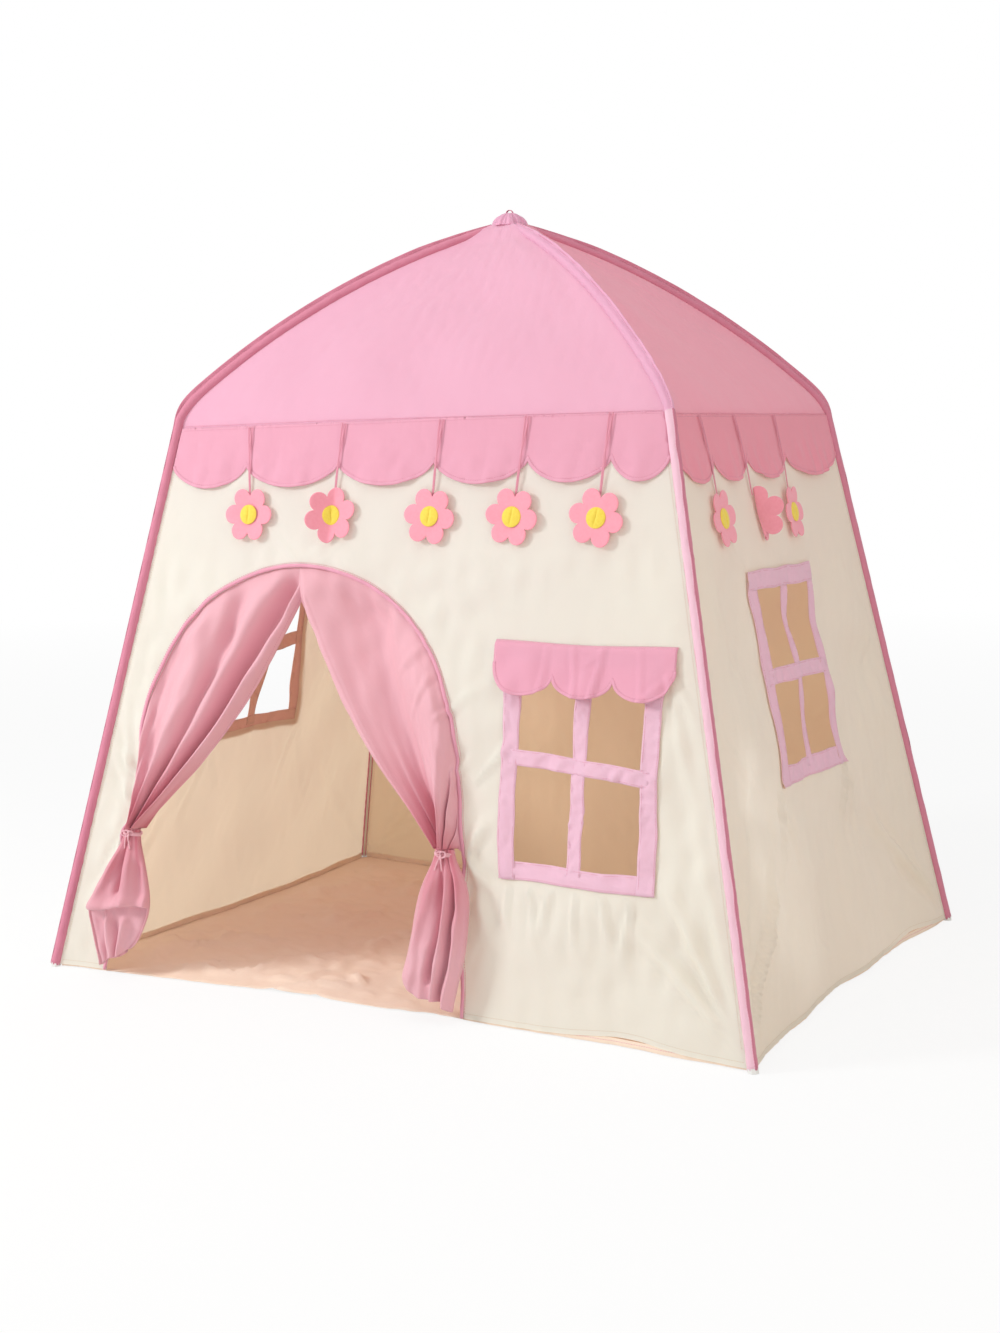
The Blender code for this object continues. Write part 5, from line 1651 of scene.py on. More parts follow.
@dataclass(frozen=True)
class Awning:
    """Scalloped awning sewn along its top over the front window."""

    drape: Drape
    body: str = "awning"
    drop: float = 0.056
    scallop: float = 0.027
    scallops: int = 3
    lift: float = 0.0042
    flare: float = 0.012
    thick: float = 0.0008
    bend: Place = (-0.0045, -0.0125)

    def frame(self) -> Matrix:
        """Frame of its top seam."""
        return FORM.hung_frame(Side.FRONT, FRONT_WINDOW.middle, FRONT_WINDOW.seam, self.lift)

    def edge(self, steps: int = 22) -> Array:
        """Scalloped edge from left to right."""
        half = FRONT_WINDOW.awning_width / 2
        cusps = np.linspace(-half, half, self.scallops + 1)
        points = []
        for left, right in zip(cusps, cusps[1:]):
            for u, turn in scallop(left, right, steps):
                outer = (left == cusps[0] and turn < math.pi / 2) or (right == half and turn > math.pi / 2)
                top = self.drop * (0.62 if outer else 0.93)
                points.append((u, -top - (self.drop + self.scallop - top) * math.sin(turn)))
        return np.array([*points, (half, -self.drop * 0.62)])

    def surface(self, u: Array, v: Array, lift: float = 0.0) -> Array:
        """Points of the awning, which billows between its cusps.

        Args:
            u: places along its seam, from its middle.
            v: places up from its seam.
            lift: height over the cloth.

        Returns:
            One point for each place.
        """
        half = FRONT_WINDOW.awning_width / 2
        share = np.clip(-v / (self.drop + self.scallop), 0, 1)
        wave = np.cos(TAU * self.scallops * (u + half) / (2 * half))
        under = self.drape.relief(FRONT_WINDOW.middle + u, FRONT_WINDOW.seam + v)
        out = under + 0.0016 + 0.0052 * eased(-v / 0.007) - self.lift
        soft = 0.0013 * Ripples(71, 0.06)(u, v)
        out += self.flare * share ** 2 - 0.003 * wave * share + soft * share + lift
        for middle, lean, height in AWNING_FOLDS:
            off = (u - middle - lean * v) / 0.0085
            out += height * np.exp(-off * off) * np.cos(2.2 * off) * (0.4 + share)
        sag = 0.0018 * np.cos(math.pi * u / half) * (1 - share)
        return moved(np.stack([u, v - sag, out], -1), self.frame())

    def build(self) -> None:
        """The awning, its bound edge and its stitches."""
        half = FRONT_WINDOW.awning_width / 2
        edge = self.edge()
        outline = np.concatenate([edge, [(half, 0), (-half, 0)]])
        flat, faces = cut_flat(outline, [], 0.0045, 0.004)
        patch = Patch(self.surface(*flat.T), faces, flat)
        item = make_piece("window_awning_cloth", patch, FINISH.trim, thick=self.thick, hold=False)
        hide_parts("window_awning")
        u, v = spaced(inset_line(edge, 0.0016), 0.004).T
        hem = swept(self.surface(u, v, -self.thick / 2 - 0.0003), facing(self.surface, u, v),
                    band_section(0.002, self.thick + 0.0008))
        binding = make_piece("window_awning_binding", hem, FINISH.trim, self.body)
        rows = []
        for line, step in ((inset_line(edge, 0.0045), 0.004),
                           (np.array([(-half + 0.003, -0.0035), (half - 0.003, -0.0035)]), 0.006)):
            u, v = spaced(line, step).T
            rows.append(STITCHING.patch(self.surface(u, v, self.thick / 2), facing(self.surface, u, v)))
        stitches = make_piece("window_awning_stitches", joined(rows), FINISH.thread_pink, hold=False)
        bend = [tuple(self.frame() @ Vector((0, place, 0))) for place in self.bend]
        for piece in (item, stitches):
            self.body
            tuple(bend[0])
            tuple(bend[1])
            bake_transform(piece)
        patch.area()


# Door curtains, tails and ties

# Place across the curtain at the tie and at the arch, height in metres, width share, and the
# share of the way up that each fold reaches
CURTAIN_FOLDS = {
    Hand.LEFT: (
        (0.05, 0.04, 0.003, 0.04, 1.5), (0.16, 0.13, -0.0055, 0.06, 1.3),
        (0.28, 0.26, 0.008, 0.085, 1.4), (0.44, 0.42, -0.006, 0.09, 1.25),
        (0.58, 0.64, 0.0125, 0.07, 1.55), (0.68, 0.745, -0.009, 0.034, 1.4),
        (0.76, 0.82, 0.009, 0.045, 1.5), (0.84, 0.885, -0.019, 0.032, 1.35),
        (0.93, 0.95, 0.011, 0.045, 1.5), (1.0, 1.0, -0.004, 0.018, 1.6),
    ),
    Hand.RIGHT: (
        (0.06, 0.05, 0.0035, 0.045, 1.3), (0.16, 0.12, -0.009, 0.032, 0.75),
        (0.24, 0.2, 0.007, 0.04, 0.8), (0.33, 0.28, -0.0095, 0.03, 0.7),
        (0.42, 0.42, 0.0075, 0.08, 0.95), (0.4, 0.38, 0.006, 0.2, 1.6),
        (0.7, 0.74, -0.016, 0.095, 1.5), (0.92, 0.93, 0.011, 0.06, 1.6),
        (1.0, 1.0, -0.007, 0.022, 1.6),
    ),
}


@dataclass(frozen=True)
class DoorCurtain:
    """One door curtain: folds fan out from the tie to the edge sewn in the arch."""

    hand: Hand
    drape: Drape
    edge_gap: float = -0.0022
    edge_tuck: float = 0.0011
    split_drop: float = 0.05
    meeting_gap: float = -0.004
    gather_width: float = 0.024
    gather_start: float = -0.01
    pleat_depth: float = 0.0036
    fold_ramp: float = 0.055
    swag: float = 0.03
    billow: float = 0.012
    top_share: float = 0.9
    neck_wide: float = 0.013
    neck_deep: float = 0.009
    rear_lift: float = 0.0135
    cut_width: float = 0.6
    thick: float = 0.0007
    columns: int = 300
    rows: int = 90

    @property
    def body(self) -> str:
        """Body of its tied part."""
        return "curtain_" + self.hand.word

    def tie(self) -> Place:
        """Place of its tie on the front."""
        inset, height = {Hand.LEFT: (0.0222, 0.254), Hand.RIGHT: (0.0158, 0.272)}[self.hand]
        return DOOR.sizes()[0] + self.hand.value * (DOOR.reach(height) - inset), height

    def frame(self) -> Matrix:
        """Frame of its tie."""
        return FORM.hung_frame(Side.FRONT, *self.tie(), 0.0)

    def sewn_edge(self, share: Array) -> tuple[Array, Array]:
        """Edge from over the tie, up the doorway to its top, and down to the split.

        Args:
            share: shares of the way along it.

        Returns:
            Places along the front and up it.
        """
        centre, spring = DOOR.sizes()
        low = self.tie()[1] + self.gather_start
        straight = DOOR.spring_height - low
        quarter = (spring + DOOR.rise) / 2 * math.pi / 2
        travel = share / self.top_share * (straight + quarter)
        turn = np.clip((travel - straight) / quarter, 0, 1) * math.pi / 2
        u_arc = np.maximum((spring - self.edge_gap) * np.cos(turn), self.meeting_gap)
        v_arc = DOOR.spring_height + (DOOR.rise - self.edge_gap) * np.sin(turn)
        down = np.clip((share - self.top_share) / (1 - self.top_share), 0, 1) * self.split_drop
        on_leg = travel < straight
        u = np.where(on_leg, DOOR.half_width(low + travel) - self.edge_gap, u_arc)
        u = np.where(share > self.top_share, self.meeting_gap, u)
        return centre + self.hand.value * u, np.where(on_leg, low + travel, v_arc) - down

    def place(self, c: Array, r: Array, extra: float = 0.0) -> Array:
        """Points of the curtain.

        Args:
            c: shares from the sewn side to the free edge.
            r: shares of the way up from the tie.
            extra: height over the cloth.

        Returns:
            One point for each pair of shares.
        """
        sign = self.hand.value
        tie_u, tie_v = self.tie()
        edge_u, edge_v = self.sewn_edge(c)
        start_u = tie_u + sign * self.gather_width * (0.5 - c)
        length = np.hypot(edge_u - start_u, edge_v - tie_v)
        swag = self.swag * c ** 2 * np.sin(math.pi * r)
        sway = Ripples(81 + sign, 0.5)(c * 1.2, r * 0.8)
        u = start_u + (edge_u - start_u) * r ** 1.06 - sign * swag + 0.0022 * sway * r * (1 - r)
        v = tie_v + (edge_v - tie_v) * r - swag / 2
        risen = eased((1 - r) * length / self.fold_ramp)
        fold = np.zeros_like(c)
        for low, high, height, width, reach in CURTAIN_FOLDS[self.hand]:
            off = (c - low - (high - low) * r - 0.008 * sway * r) / width
            fold += 1.6 * height * np.exp(-off * off) * eased((reach - r) / 0.45)
        warp = c + 0.02 * np.sin(TAU * (2.3 * c + 0.12 * sign))
        pleats = np.sin(TAU * 9 * warp + sign) + 0.6 * np.sin(TAU * 15 * warp + 1.9)
        fold += self.pleat_depth * pleats * np.clip(1 - r / 0.55, 0, 1) ** 2
        fold += 0.0008 * Ripples(91 + sign, 0.12, 0.4)(c * 0.6, r * 0.5)
        swell = (self.rear_lift + self.neck_deep) * risen * (1 - r) ** 2
        billow = self.billow * np.sin(math.pi * r) * c * (1 - 0.4 * c) * risen
        over = 0.0009 * (1 - sign) * eased((c - self.top_share + 0.06) / 0.06) * r
        tuck = self.edge_tuck * eased((r - 0.93) / 0.07)
        sewn = self.drape.relief(u, v) * eased((r - 0.35) / 0.6) - tuck
        lift = swell + fold * risen + billow + extra - over + sewn
        return FORM.bare(Side.FRONT, u, v) + FORM.normals(Side.FRONT, u, v) * lift[:, None]

    def normals(self, c: Array, r: Array) -> Array:
        """Directions out of the curtain."""
        (wide, high), (slim, low) = (np.clip((c + step, r + step), 0, 1)
                                     for step in (SLOPE_STEP, -SLOPE_STEP))
        rising = self.place(c, high) - self.place(c, low)
        return -unit(np.cross(self.place(wide, r) - self.place(slim, r), rising)) * self.hand.value

    def build(self) -> None:
        """The gathered cloth above the tie, with the hem of its free edge."""
        patch = grid_patch(self.columns, self.rows, self.place, (0.62, 0.46))
        if self.hand is Hand.RIGHT:
            patch = patch.turned_over()
        node = "door_curtain_" + self.hand.word
        item = make_piece(node + "_cloth", patch, FINISH.curtain, thick=self.thick, hold=False)
        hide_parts(node)
        r = np.linspace(0.03, 0.985, 160)
        c = np.full_like(r, 0.988)
        hem = STITCHING.patch(self.place(c, r, self.thick), self.normals(c, r))
        stitches = make_piece(node + "_stitches", hem, FINISH.thread_pink, hold=False)
        tie_u, tie_v = self.tie()
        high, low = (FORM.bare(Side.FRONT, row(tie_u), row(tie_v + over))[0] for over in (0.3, 0.015))
        for piece in (item, stitches):
            self.body
            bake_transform(piece)
        area = patch.hung_area()


# Drop share, left and right edge as shares of the half width, and depth share of a tail
TAIL_SHARES = {
    Hand.LEFT: (
        (0.0, -0.2, 0.2, 0.52), (0.07, -0.24, 0.22, 0.56), (0.25, -0.6, 0.46, 0.8),
        (0.49, -1.1, 0.68, 1.0), (0.6, -1.3, 0.7, 1.0), (0.75, -1.12, 0.5, 0.86),
        (0.88, -1.0, 0.3, 0.76), (1.0, -0.86, 0.06, 0.6),
    ),
    Hand.RIGHT: (
        (0.0, -0.26, 0.26, 0.52), (0.07, -0.3, 0.34, 0.56), (0.18, -0.52, 0.74, 0.8),
        (0.32, -0.7, 0.94, 0.92), (0.52, -0.86, 0.9, 1.0), (0.72, -1.02, 0.8, 1.0),
        (0.9, -1.14, 0.62, 0.88), (1.0, -1.12, 0.46, 0.66),
    ),
}
# Place across the front of the tail at its neck and its hem, from -1 to 1, height in metres,
# width share, and the drop shares where the fold starts and ends
TAIL_FOLDS = {
    Hand.LEFT: (
        (-0.55, -0.72, 0.006, 0.2, 0.02, 0.66), (-0.1, 0.02, -0.009, 0.13, -0.1, 0.52),
        (0.25, 0.42, 0.005, 0.22, 0.05, 0.62), (0.75, 0.8, -0.003, 0.16, 0.2, 0.66),
        (-0.66, -0.6, -0.005, 0.16, 0.6, 1.3), (-0.3, -0.22, 0.005, 0.14, 0.6, 1.3),
        (0.02, 0.06, -0.0045, 0.1, 0.6, 1.3), (0.3, 0.34, 0.005, 0.15, 0.6, 1.3),
    ),
    Hand.RIGHT: (
        (-0.5, -0.62, 0.006, 0.26, 0.04, 1.4), (0.05, 0.1, -0.0075, 0.14, -0.1, 0.9),
        (0.3, 0.34, 0.0055, 0.12, 0.06, 1.4), (0.52, 0.55, -0.008, 0.09, -0.1, 1.2),
        (0.76, 0.78, 0.004, 0.1, 0.1, 1.4), (-0.1, -0.16, 0.003, 0.16, 0.55, 1.4),
    ),
}


@dataclass(frozen=True)
class CurtainTail:
    """Bunched curtain below its tie: a flat bag of cloth with a few deep folds, open at its hem."""

    curtain: DoorCurtain
    half_deep: float = 0.017
    hem_slant: float = 0.03
    overhang: float = 0.007
    thick: float = 0.0008
    columns: int = 220
    rows: int = 90

    def sizes(self) -> Place:
        """Length and half of the greatest width of the tail."""
        return (0.236, 0.063) if self.curtain.hand is Hand.LEFT else (0.25, 0.063 * 0.86)

    def place(self, c: Array, r: Array) -> Array:
        """Points of the tail.

        Args:
            c: shares of the way round it.
            r: shares of the way down from its neck.

        Returns:
            One point for each pair of shares.
        """
        left = self.curtain.hand is Hand.LEFT
        length, half_wide = self.sizes()
        table = np.array(TAIL_SHARES[self.curtain.hand])

        def read(column: int) -> Array:
            """Smooth reading of one share down the tail."""
            fine = np.linspace(0, 1, 60)
            padded = np.pad(np.interp(fine, table[:, 0], table[:, column]), 4, mode="edge")
            return np.interp(r, fine, np.convolve(padded, np.ones(9) / 9, "valid"))

        low, high = half_wide * read(1), half_wide * read(2)
        deep = np.maximum(self.half_deep * read(3), self.curtain.neck_deep * 0.95)
        seed = 85 + self.curtain.hand.value
        side, front = np.cos(TAU * c), np.sin(TAU * c)
        sway = Ripples(seed, 0.5)(side, r)
        x = (low + high) / 2 + (high - low) / 2 * side * (1 + 0.015 * sway)
        lift = self.curtain.rear_lift + deep * (1 + np.sign(front) * np.abs(front) ** 0.8)
        grown = eased((r - 0.05) / 0.25)
        seen = eased(front / 0.5) * np.maximum(grown, 0.25)
        for start, stop, height, width, first, last in TAIL_FOLDS[self.curtain.hand]:
            off = (side - start - (stop - start) * r + 0.04 * sway) / width
            span = eased((r - first) / 0.1) * eased((last - r) / 0.1)
            lift = lift + 1.9 * seen * span * height * np.exp(-off * off)
        lift = lift - eased(-front / 0.4) * grown * 0.003 * np.cos(9 * side + seed)
        lift = lift + seen * (0.0007 * Ripples(seed + 4, 0.06, 0.5)(x, r * length))
        slant = (1 + side) / 2 if left else (1 - side) / 2
        y = -length * r + self.hem_slant * slant * r ** 6 + 0.003 * np.cos(5 * side + seed) * r ** 8
        if left:
            line = r - 0.595 + 0.03 * side + 0.01 * np.sin(4 * side)
            pocket = eased(front / 0.35)
            lift = lift + pocket * self.overhang * np.exp(-((line + 0.035) / 0.05) ** 2)
            lift = lift - pocket * self.overhang * 1.3 * eased((line + 0.004) / 0.014)
            y = y + pocket * 0.012 * np.exp(-((line - 0.012) / 0.016) ** 2)
        return moved(np.stack([x, y, lift], -1), self.curtain.frame())

    def build(self) -> None:
        """The tail, open at its hem."""
        wide, length = self.curtain.cut_width, self.sizes()[0]
        patch = grid_patch(self.columns, self.rows, self.place, (wide, length), wrap=True).turned_over()
        node = "curtain_tail_" + self.curtain.hand.word
        item = make_piece(node + "_cloth", patch, FINISH.curtain, self.curtain.body,
                          thick=self.thick, offset=-1)
        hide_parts(node)
        max(patch.hung_area(), 0.3 * wide * length)


@dataclass(frozen=True)
class CurtainTie:
    """Soft cord wound round the gathered curtain, knotted in front with a bow loop."""

    curtain: DoorCurtain
    cord: float = 0.0021
    neck_length: float = 0.016
    gap: float = 0.0004

    def build(self) -> None:
        """The winding, the knot, the bow loop and the two loose ends."""
        wide, deep = (neck + self.gap + self.cord
                      for neck in (self.curtain.neck_wide, self.curtain.neck_deep))
        middle = row(0, -self.neck_length / 2, self.curtain.rear_lift + self.curtain.neck_deep)
        turn = np.linspace(0, 2 * TAU, 96)
        climb = (turn / (2 * TAU) - 0.5) * 0.0052
        winding = middle + np.stack([wide * np.cos(turn), climb, deep * np.sin(turn)], -1)
        front = middle + row(0, 0, deep + self.cord)
        t = np.linspace(0, TAU, 90)
        knot = front + 0.0034 * np.stack([np.sin(t) + 1.3 * np.sin(2 * t),
                                          np.cos(t) - 1.3 * np.cos(2 * t), -0.9 * np.sin(3 * t)], -1)
        sign = self.curtain.hand.value
        t = np.linspace(-0.85 * math.pi, 0.85 * math.pi, 40)
        bow = front + np.stack([sign * (0.0035 + 0.0085 * np.cos(t)), 0.0048 * np.sin(t),
                                0.0028 + 0.001 * np.cos(2 * t)], -1)
        t = np.linspace(0, 1, 24)
        ends = [front + np.stack([sign * (0.002 + 0.01 * k * t), -0.02 * t - 0.006 * t ** 2,
                                  0.002 + 0.0012 * np.sin(3 * t + k)], -1) for k in (0.3, -0.9)]
        matrix = self.curtain.frame()
        patches = []
        for line, thin, axis in ((winding, 1.0, 1), (knot, 0.8, 2), (bow, 0.66, 2),
                                 (ends[0], 0.6, 2), (ends[1], 0.6, 2)):
            normals = np.broadcast_to(np.array(matrix)[:3, axis], line.shape)
            patches.append(swept(moved(line, matrix), normals, round_section(self.cord * thin, 10)))
        node = "curtain_tie_" + self.curtain.hand.word
        item = make_piece(node + "_cord", joined(patches), FINISH.cord, self.curtain.body)
        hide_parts(node)


@dataclass(frozen=True)
class DoorPiping:
    """Round piping sewn beside the edge of the doorway."""

    drape: Drape
    radius: float = 0.003
    lift: float = 0.001

    def build(self) -> None:
        """The piping and the stitches outside it."""
        u, v = spaced(DOOR.arch(-self.radius, 0.004, 96), 0.006).T
        waver = 1 + 0.05 * Ripples(77, 0.02)(u, v)
        patch = swept(self.drape.lay(u, v, self.lift + self.radius * 0.55), self.drape.normals(u, v),
                      round_section(self.radius, 12, 0.8), scales=waver)
        item = make_piece("door_piping_roll", patch, FINISH.trim)
        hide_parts("door_piping")
        rows = sewn_on(self.drape, spaced(DOOR.arch(-self.radius * 2.6, 0.012, 96), 0.006), 0.0006)
        make_piece("door_piping_stitches", rows, FINISH.thread_pink)


# Flowers, cap and frame

# Place of a ribbon's top as a share of the half eave, sideways lean and turn in degrees
CHARM_SHARES = {
    Side.FRONT: ((-0.672, 3.5, -4), (-0.262, -5.0, 22), (0.142, -4.0, -3), (0.48, -6.0, -2),
                 (0.795, -5.0, -8)),
    Side.RIGHT: ((-0.72, 7.0, 2), (-0.31, 9.0, -14), (0.2, 4.0, -3)),
    Side.LEFT: ((-0.2, -4.0, 3), (0.31, -6.0, 12), (0.72, -7.0, -2)),
}
# Degrees by which the left half of a flower has folded forward
FOLDED = {(Side.FRONT, 2): 40.0, (Side.RIGHT, 2): 112.0, (Side.LEFT, 2): 24.0}
# Size of each ring of a felt sheet, from its back to its front, and its share of the thickness
FELT_RINGS = ((0.02, 0.0), (0.955, 0.0), (0.99, 0.14), (1.0, 0.42), (0.995, 0.72), (0.968, 0.95),
              (0.92, 1.0), (0.75, 1.0), (0.55, 1.0), (0.36, 1.0), (0.18, 1.0), (0.02, 1.0))


@dataclass(frozen=True)
class Flower:
    """Felt flower that hangs from the eave seam on a doubled ribbon."""

    side: Side
    number: int
    share: float
    lean: float
    turn: float
    top: float = 0.944
    drop: float = 0.149
    lift: float = 0.00385
    felt: float = 0.0025
    dome: float = 0.003
    petals: int = 6
    petal_radius: float = 0.016
    petal_centre: float = 0.0305
    centre_radius: float = 0.0165
    sewn: float = 0.014
    strand: float = 0.00125
    bend: Place = (0.001, -0.008)

    @property
    def body(self) -> str:
        """Its body, which has its node's name."""
        return f"flower_{self.side.value}_{self.number}"

    def outline(self, steps: int = 14) -> Array:
        """Outline of six round petals."""
        half = math.pi / self.petals
        across = self.petal_centre * math.sin(half)
        notch = self.petal_centre * math.cos(half) + math.sqrt(self.petal_radius ** 2 - across ** 2)
        start = math.atan2(notch * math.sin(half), notch * math.cos(half) - self.petal_centre)
        points = []
        for petal in range(self.petals):
            heading = math.pi / 2 + half * (2 * petal + 1)
            turn = heading - start + 2 * start * np.arange(steps) / steps
            middle = self.petal_centre * row(math.cos(heading), math.sin(heading))
            points.append(middle + self.petal_radius * np.stack([np.cos(turn), np.sin(turn)], -1))
        return np.concatenate(points)

    def folded(self, points: Array) -> Array:
        """Turns up the half that has folded forward on some flowers.

        Args:
            points: points of a felt sheet.

        Returns:
            The points after folding.
        """
        if (self.side, self.number) not in FOLDED:
            return points
        angle, fold = math.radians(FOLDED[self.side, self.number]), -math.radians(self.turn)
        along = -row(math.cos(fold), math.sin(fold))
        across = points[:, :2] @ along
        far = (np.hypot(across, 0.003) + across) / 2
        tilt = angle * eased(across / 0.006 + 0.5)
        shift = far * (1 - math.cos(angle)) + points[:, 2] * np.sin(tilt)
        height = far * math.sin(angle) + points[:, 2] * np.cos(tilt)
        return np.concatenate([points[:, :2] - shift[:, None] * along, height[:, None]], 1)

    def sheet_patch(self, outline: Array, rise: Relief, thick: float, place: Matrix) -> Patch:
        """Felt sheet with soft edges, in its place.

        Args:
            outline: its outline.
            rise: height of its back at each place.
            thick: its thickness.
            place: frame that it lies in.

        Returns:
            The patch.
        """
        rings = []
        for size, share in FELT_RINGS:
            x, y = (outline * size).T
            rings.append(np.stack([x, y, rise(x, y) + share * thick], -1))
        count, points = len(outline), np.concatenate(rings)
        faces = [tuple(reversed(range(count))), *grid_faces(len(rings), count, True),
                 tuple(range(len(points) - count, len(points)))]
        return Patch(moved(self.folded(points), place), faces, points[:, :2])

    def ribbon_patch(self, hang: Matrix, risen: float) -> Patch:
        """The ribbon's two strands, from the seam to the flower.

        Args:
            hang: frame of its hinge.
            risen: height of the seam over the hinge.

        Returns:
            The patch.
        """
        low = self.drop - self.petal_centre - self.petal_radius + self.sewn
        t = np.linspace(0, 1, 50)
        out = 0.0012 + 0.0022 * np.sin(math.pi * np.clip(t * 1.1, 0, 1)) - 0.0012 * t
        strands = []
        for sign in (-1, 1):
            spread = sign * (0.0024 * (1 - t) + 0.0006) * np.cos(1.1 * math.pi * t)
            line = moved(np.stack([spread, risen - (low + risen) * t, out], -1), hang)
            normals = np.broadcast_to(np.array(hang)[:3, 2], line.shape)
            strands.append(swept(line, normals, round_section(self.strand, 8, 0.5)))
        return joined(strands)

    def build(self) -> None:
        """The petals, the domed centre and the ribbon."""
        u = self.share * FORM.reach(self.side, FORM.slopes(self.side)[0])
        lean, turn = (Matrix.Rotation(math.radians(angle), 4, "Z") for angle in (self.lean, self.turn))
        hang = FORM.hung_frame(self.side, u, self.top, self.lift) @ lean
        middle = hang @ Matrix.Translation((0, -self.drop, 0)) @ turn
        curl = Ripples(200 + 10 * self.side.rank + self.number, 0.11)

        def cupped(x: Array, y: Array) -> Array:
            """Felt that has curled a little."""
            return 0.001 * curl(x, y) + 1.1 * (x * x + y * y)

        def domed(x: Array, y: Array) -> Array:
            """Dome with a pressed crease down its middle, and a nick at its top."""
            reach = np.clip((x * x + y * y) / self.centre_radius ** 2, 0, 1)
            crease = 0.0019 * np.exp(-(x / 0.0015) ** 2) * (1 - reach)
            return self.felt * 0.9 + self.dome * np.sqrt(1 - reach * 0.92) - crease

        petals = self.sheet_patch(self.outline(), cupped, self.felt, middle)
        item = make_piece(self.body + "_petals", petals, FINISH.petals, self.body)
        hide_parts(self.body)
        centre = self.sheet_patch(round_section(self.centre_radius, 56), domed, 0.0012, middle)
        button = make_piece(self.body + "_centre", centre, FINISH.centres, self.body)
        risen = float(FORM.rise(self.side, u)) / math.cos(math.radians(self.lean))
        ribbon = make_piece(self.body + "_ribbon", self.ribbon_patch(hang, risen), FINISH.ribbon, hold=False)
        bend = [tuple(hang @ Vector((0, place, 0))) for place in self.bend]
        self.body
        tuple(bend[0])
        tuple(bend[1])
        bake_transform(ribbon)


@dataclass(frozen=True)
class ApexCap:
    """Gathered cloth over the hub, bound round and topped with a small strap loop."""

    radius: float = 0.027
    under: float = 0.0112
    neck: float = 0.0032
    loop_radius: float = 0.0058
    strap: float = 0.0042

    def build(self) -> None:
        """The gathered cap and its loop."""
        base = row(0, 0, FORM.apex_height)

        def place(c: Array, r: Array) -> Array:
            """Points of the cap: c runs round, r from its edge to the knot."""
            turn = TAU * c
            pleat = np.cos(11 * turn + 1.6 * np.sin(2 * turn)) + 0.4 * np.cos(23 * turn + 1)
            rim = self.radius * (1 + 0.06 * pleat)
            radius = rim * (1 - r) ** 0.7 * (1 - 0.1 * pleat * r * (1 - r)) + self.neck
            rise = self.under + self.neck - 0.0175 * (1 - r) ** 2.6 + 0.0042 * eased((r - 0.55) / 0.45)
            rise = rise + 0.0019 * pleat * (1 - r) * eased(r / 0.15)
            return base + np.stack([radius * np.cos(turn), radius * np.sin(turn), rise], -1)

        patch = grid_patch(168, 26, place, (TAU * self.radius, self.radius), wrap=True)
        item = make_piece("apex_cap_cloth", patch, FINISH.roof, thick=0.0011)
        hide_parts("apex_loop")
        turn = np.linspace(-0.22 * math.pi, 1.22 * math.pi, 46)
        out = np.stack([np.cos(turn), np.zeros_like(turn), np.sin(turn)], -1)
        line = base + row(0, 0, self.under + 0.0066) + self.loop_radius * out
        strap = swept(line, out, band_section(self.strap / 2, 0.0011))
        make_piece("apex_strap_loop", strap, FINISH.sleeve)


def dress_frame() -> None:
    """Plastic finishes for the poles and fittings that are kept as they are."""
    kept = ((("leg_pole", "roof_pole"), FINISH.pole), (("eave_elbow", "apex_hub"), FINISH.fitting))
    for name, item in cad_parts.items():
        for starts, finish in kept:
            if name.startswith(starts):
                item.data.materials.clear()
                item.data.materials.append(finish.material())


# Studio


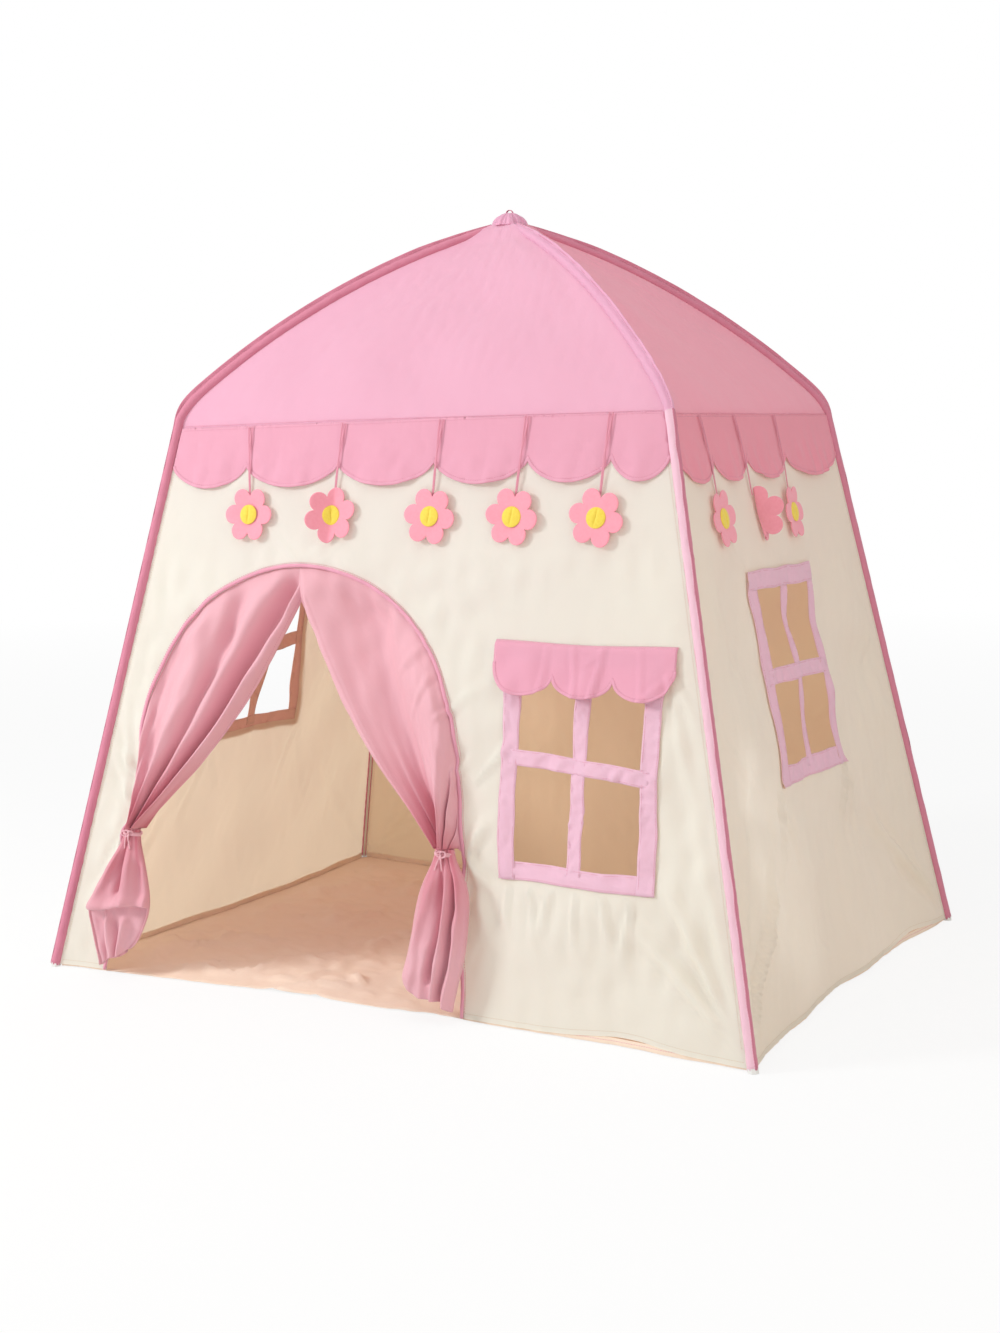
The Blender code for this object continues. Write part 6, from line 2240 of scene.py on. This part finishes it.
@dataclass(frozen=True)
class Studio:
    """Pale floor, soft light and the camera."""

    azimuth: float = 28.611
    elevation: float = 6.629
    distance: float = 3.503
    aim: tuple[float, float, float] = (-0.029, 0.0, 0.502)
    lens: float = 52.75
    roll: float = -0.636
    floor_size: float = 60.0
    floor_drop: float = 0.0006
    ambient: float = 0.56

    def camera(self) -> None:
        """Camera at the photograph's angle."""
        a, e = math.radians(self.azimuth), math.radians(self.elevation)
        away = Vector((math.sin(a) * math.cos(e), -math.cos(a) * math.cos(e), math.sin(e)))
        eye = Vector(self.aim) + away * self.distance
        turn = (-away).to_track_quat("-Z", "Y").to_matrix().to_4x4()
        roll = Matrix.Rotation(math.radians(self.roll), 4, "Z")
        data = bpy.data.cameras.new("camera")
        data.lens, data.sensor_width = self.lens, 36
        item = shown("camera", data)
        item.matrix_world = Matrix.Translation(eye) @ turn @ roll
        bpy.context.scene.camera = item

    def lamp(self, name: str, at: tuple[float, float, float], size: float, power: float,
             tint: Colour = (1.0, 1.0, 1.0)) -> None:
        """Soft square lamp that points at the tent.

        Args:
            name: its name.
            at: where it stands.
            size: length of its sides.
            power: its power, in watts.
            tint: colour of its light.
        """
        data = bpy.data.lights.new(name, "AREA")
        data.shape, data.size, data.energy, data.color = "SQUARE", size, power, tint
        item = shown(name, data)
        item.location = at
        aim = Vector((0, 0, 0.55)) - Vector(at)
        item.rotation_euler = aim.to_track_quat("-Z", "Y").to_euler()

    def floor(self) -> None:
        """Pale floor that keeps the tent's shadow and runs out to white."""
        half = self.floor_size / 2
        mesh = bpy.data.meshes.new("studio_floor")
        corners = [(-half, -half, 0), (half, -half, 0), (half, half, 0), (-half, half, 0)]
        mesh.from_pydata(corners, [], [(0, 1, 2, 3)])
        item = shown("studio_floor", mesh)
        item.location.z = -self.floor_drop
        material = bpy.data.materials.new("studio_paper")
        material.use_nodes = True
        tree, nodes = Tree(material.node_tree), material.node_tree.nodes
        shader = tree.feed(nodes["Principled BSDF"], {
            "Base Color": (0.93, 0.93, 0.92, 1), "Roughness": 0.95, "Specular IOR Level": 0.1})
        centre = tree.node("TexCoord").outputs["Object"]
        far = tree.node("VectorMath", {0: centre}, operation="LENGTH").outputs["Value"]
        seen = tree.math("MULTIPLY", tree.node("LightPath").outputs["Is Camera Ray"],
                         tree.ramp(far, 1.2, 7.0, 0.82, 1.0))
        white = tree.node("Emission", {"Color": (1, 1, 1, 1), "Strength": 1.0})
        both = tree.node("MixShader", {0: seen, 1: shader.outputs[0], 2: white.outputs[0]})
        tree.feed(nodes["Material Output"], {"Surface": both.outputs[0]})
        mesh.materials.append(material)

    def world(self) -> None:
        """Even grey light, and white behind the tent."""
        world = bpy.data.worlds.new("studio")
        bpy.context.scene.world = world
        world.use_nodes = True
        tree = Tree(world.node_tree)
        rays = tree.node("LightPath").outputs
        bounced = tree.math("MAXIMUM", rays["Is Glossy Ray"], rays["Is Transmission Ray"])
        seen = tree.math("MAXIMUM", rays["Is Camera Ray"], bounced)
        level = tree.math("MULTIPLY_ADD", seen, 1.0 - self.ambient, self.ambient)
        tree.feed(world.node_tree.nodes["Background"], {"Color": (1, 1, 1, 1), "Strength": level})

    def build(self) -> None:
        """Everything round the tent."""
        self.camera()
        self.floor()
        self.world()
        self.lamp("key", (-3.0, -2.95, 2.35), 1.0, 104.0, (0.985, 1.0, 0.995))
        self.lamp("fill", (3.6, -1.6, 1.6), 2.0, 24.0, (1.0, 0.84, 0.67))
        self.lamp("top", (0.2, -1.2, 3.6), 2.2, 20.0)
        bpy.context.scene.view_settings.view_transform = "Standard"


def main() -> None:
    """Builds every piece in order."""
    logging.basicConfig(level=logging.INFO, format="%(message)s")
    Studio().build()
    dress_frame()
    drapes = {side: Wall(side).build() for side in Side}
    for side in Side:
        RoofPanel(side).build()
        Valance(side).build()
    for corner in CORNER_SIGNS:
        CornerSleeve(corner).build()
    FloorSheet(drapes).build()
    for side in WINDOW:
        WindowFrame(side, drapes[side]).build()
    Awning(drapes[Side.FRONT]).build()
    DoorPiping(drapes[Side.FRONT]).build()
    for hand in Hand:
        curtain = DoorCurtain(hand, drapes[Side.FRONT])
        curtain.build()
        CurtainTail(curtain).build()
        CurtainTie(curtain).build()
    for side, charms in CHARM_SHARES.items():
        for number, (share, lean, turn) in enumerate(charms, start=1):
            Flower(side, number, share, lean, turn).build()
    ApexCap().build()


if __name__ == "__main__":
    main()
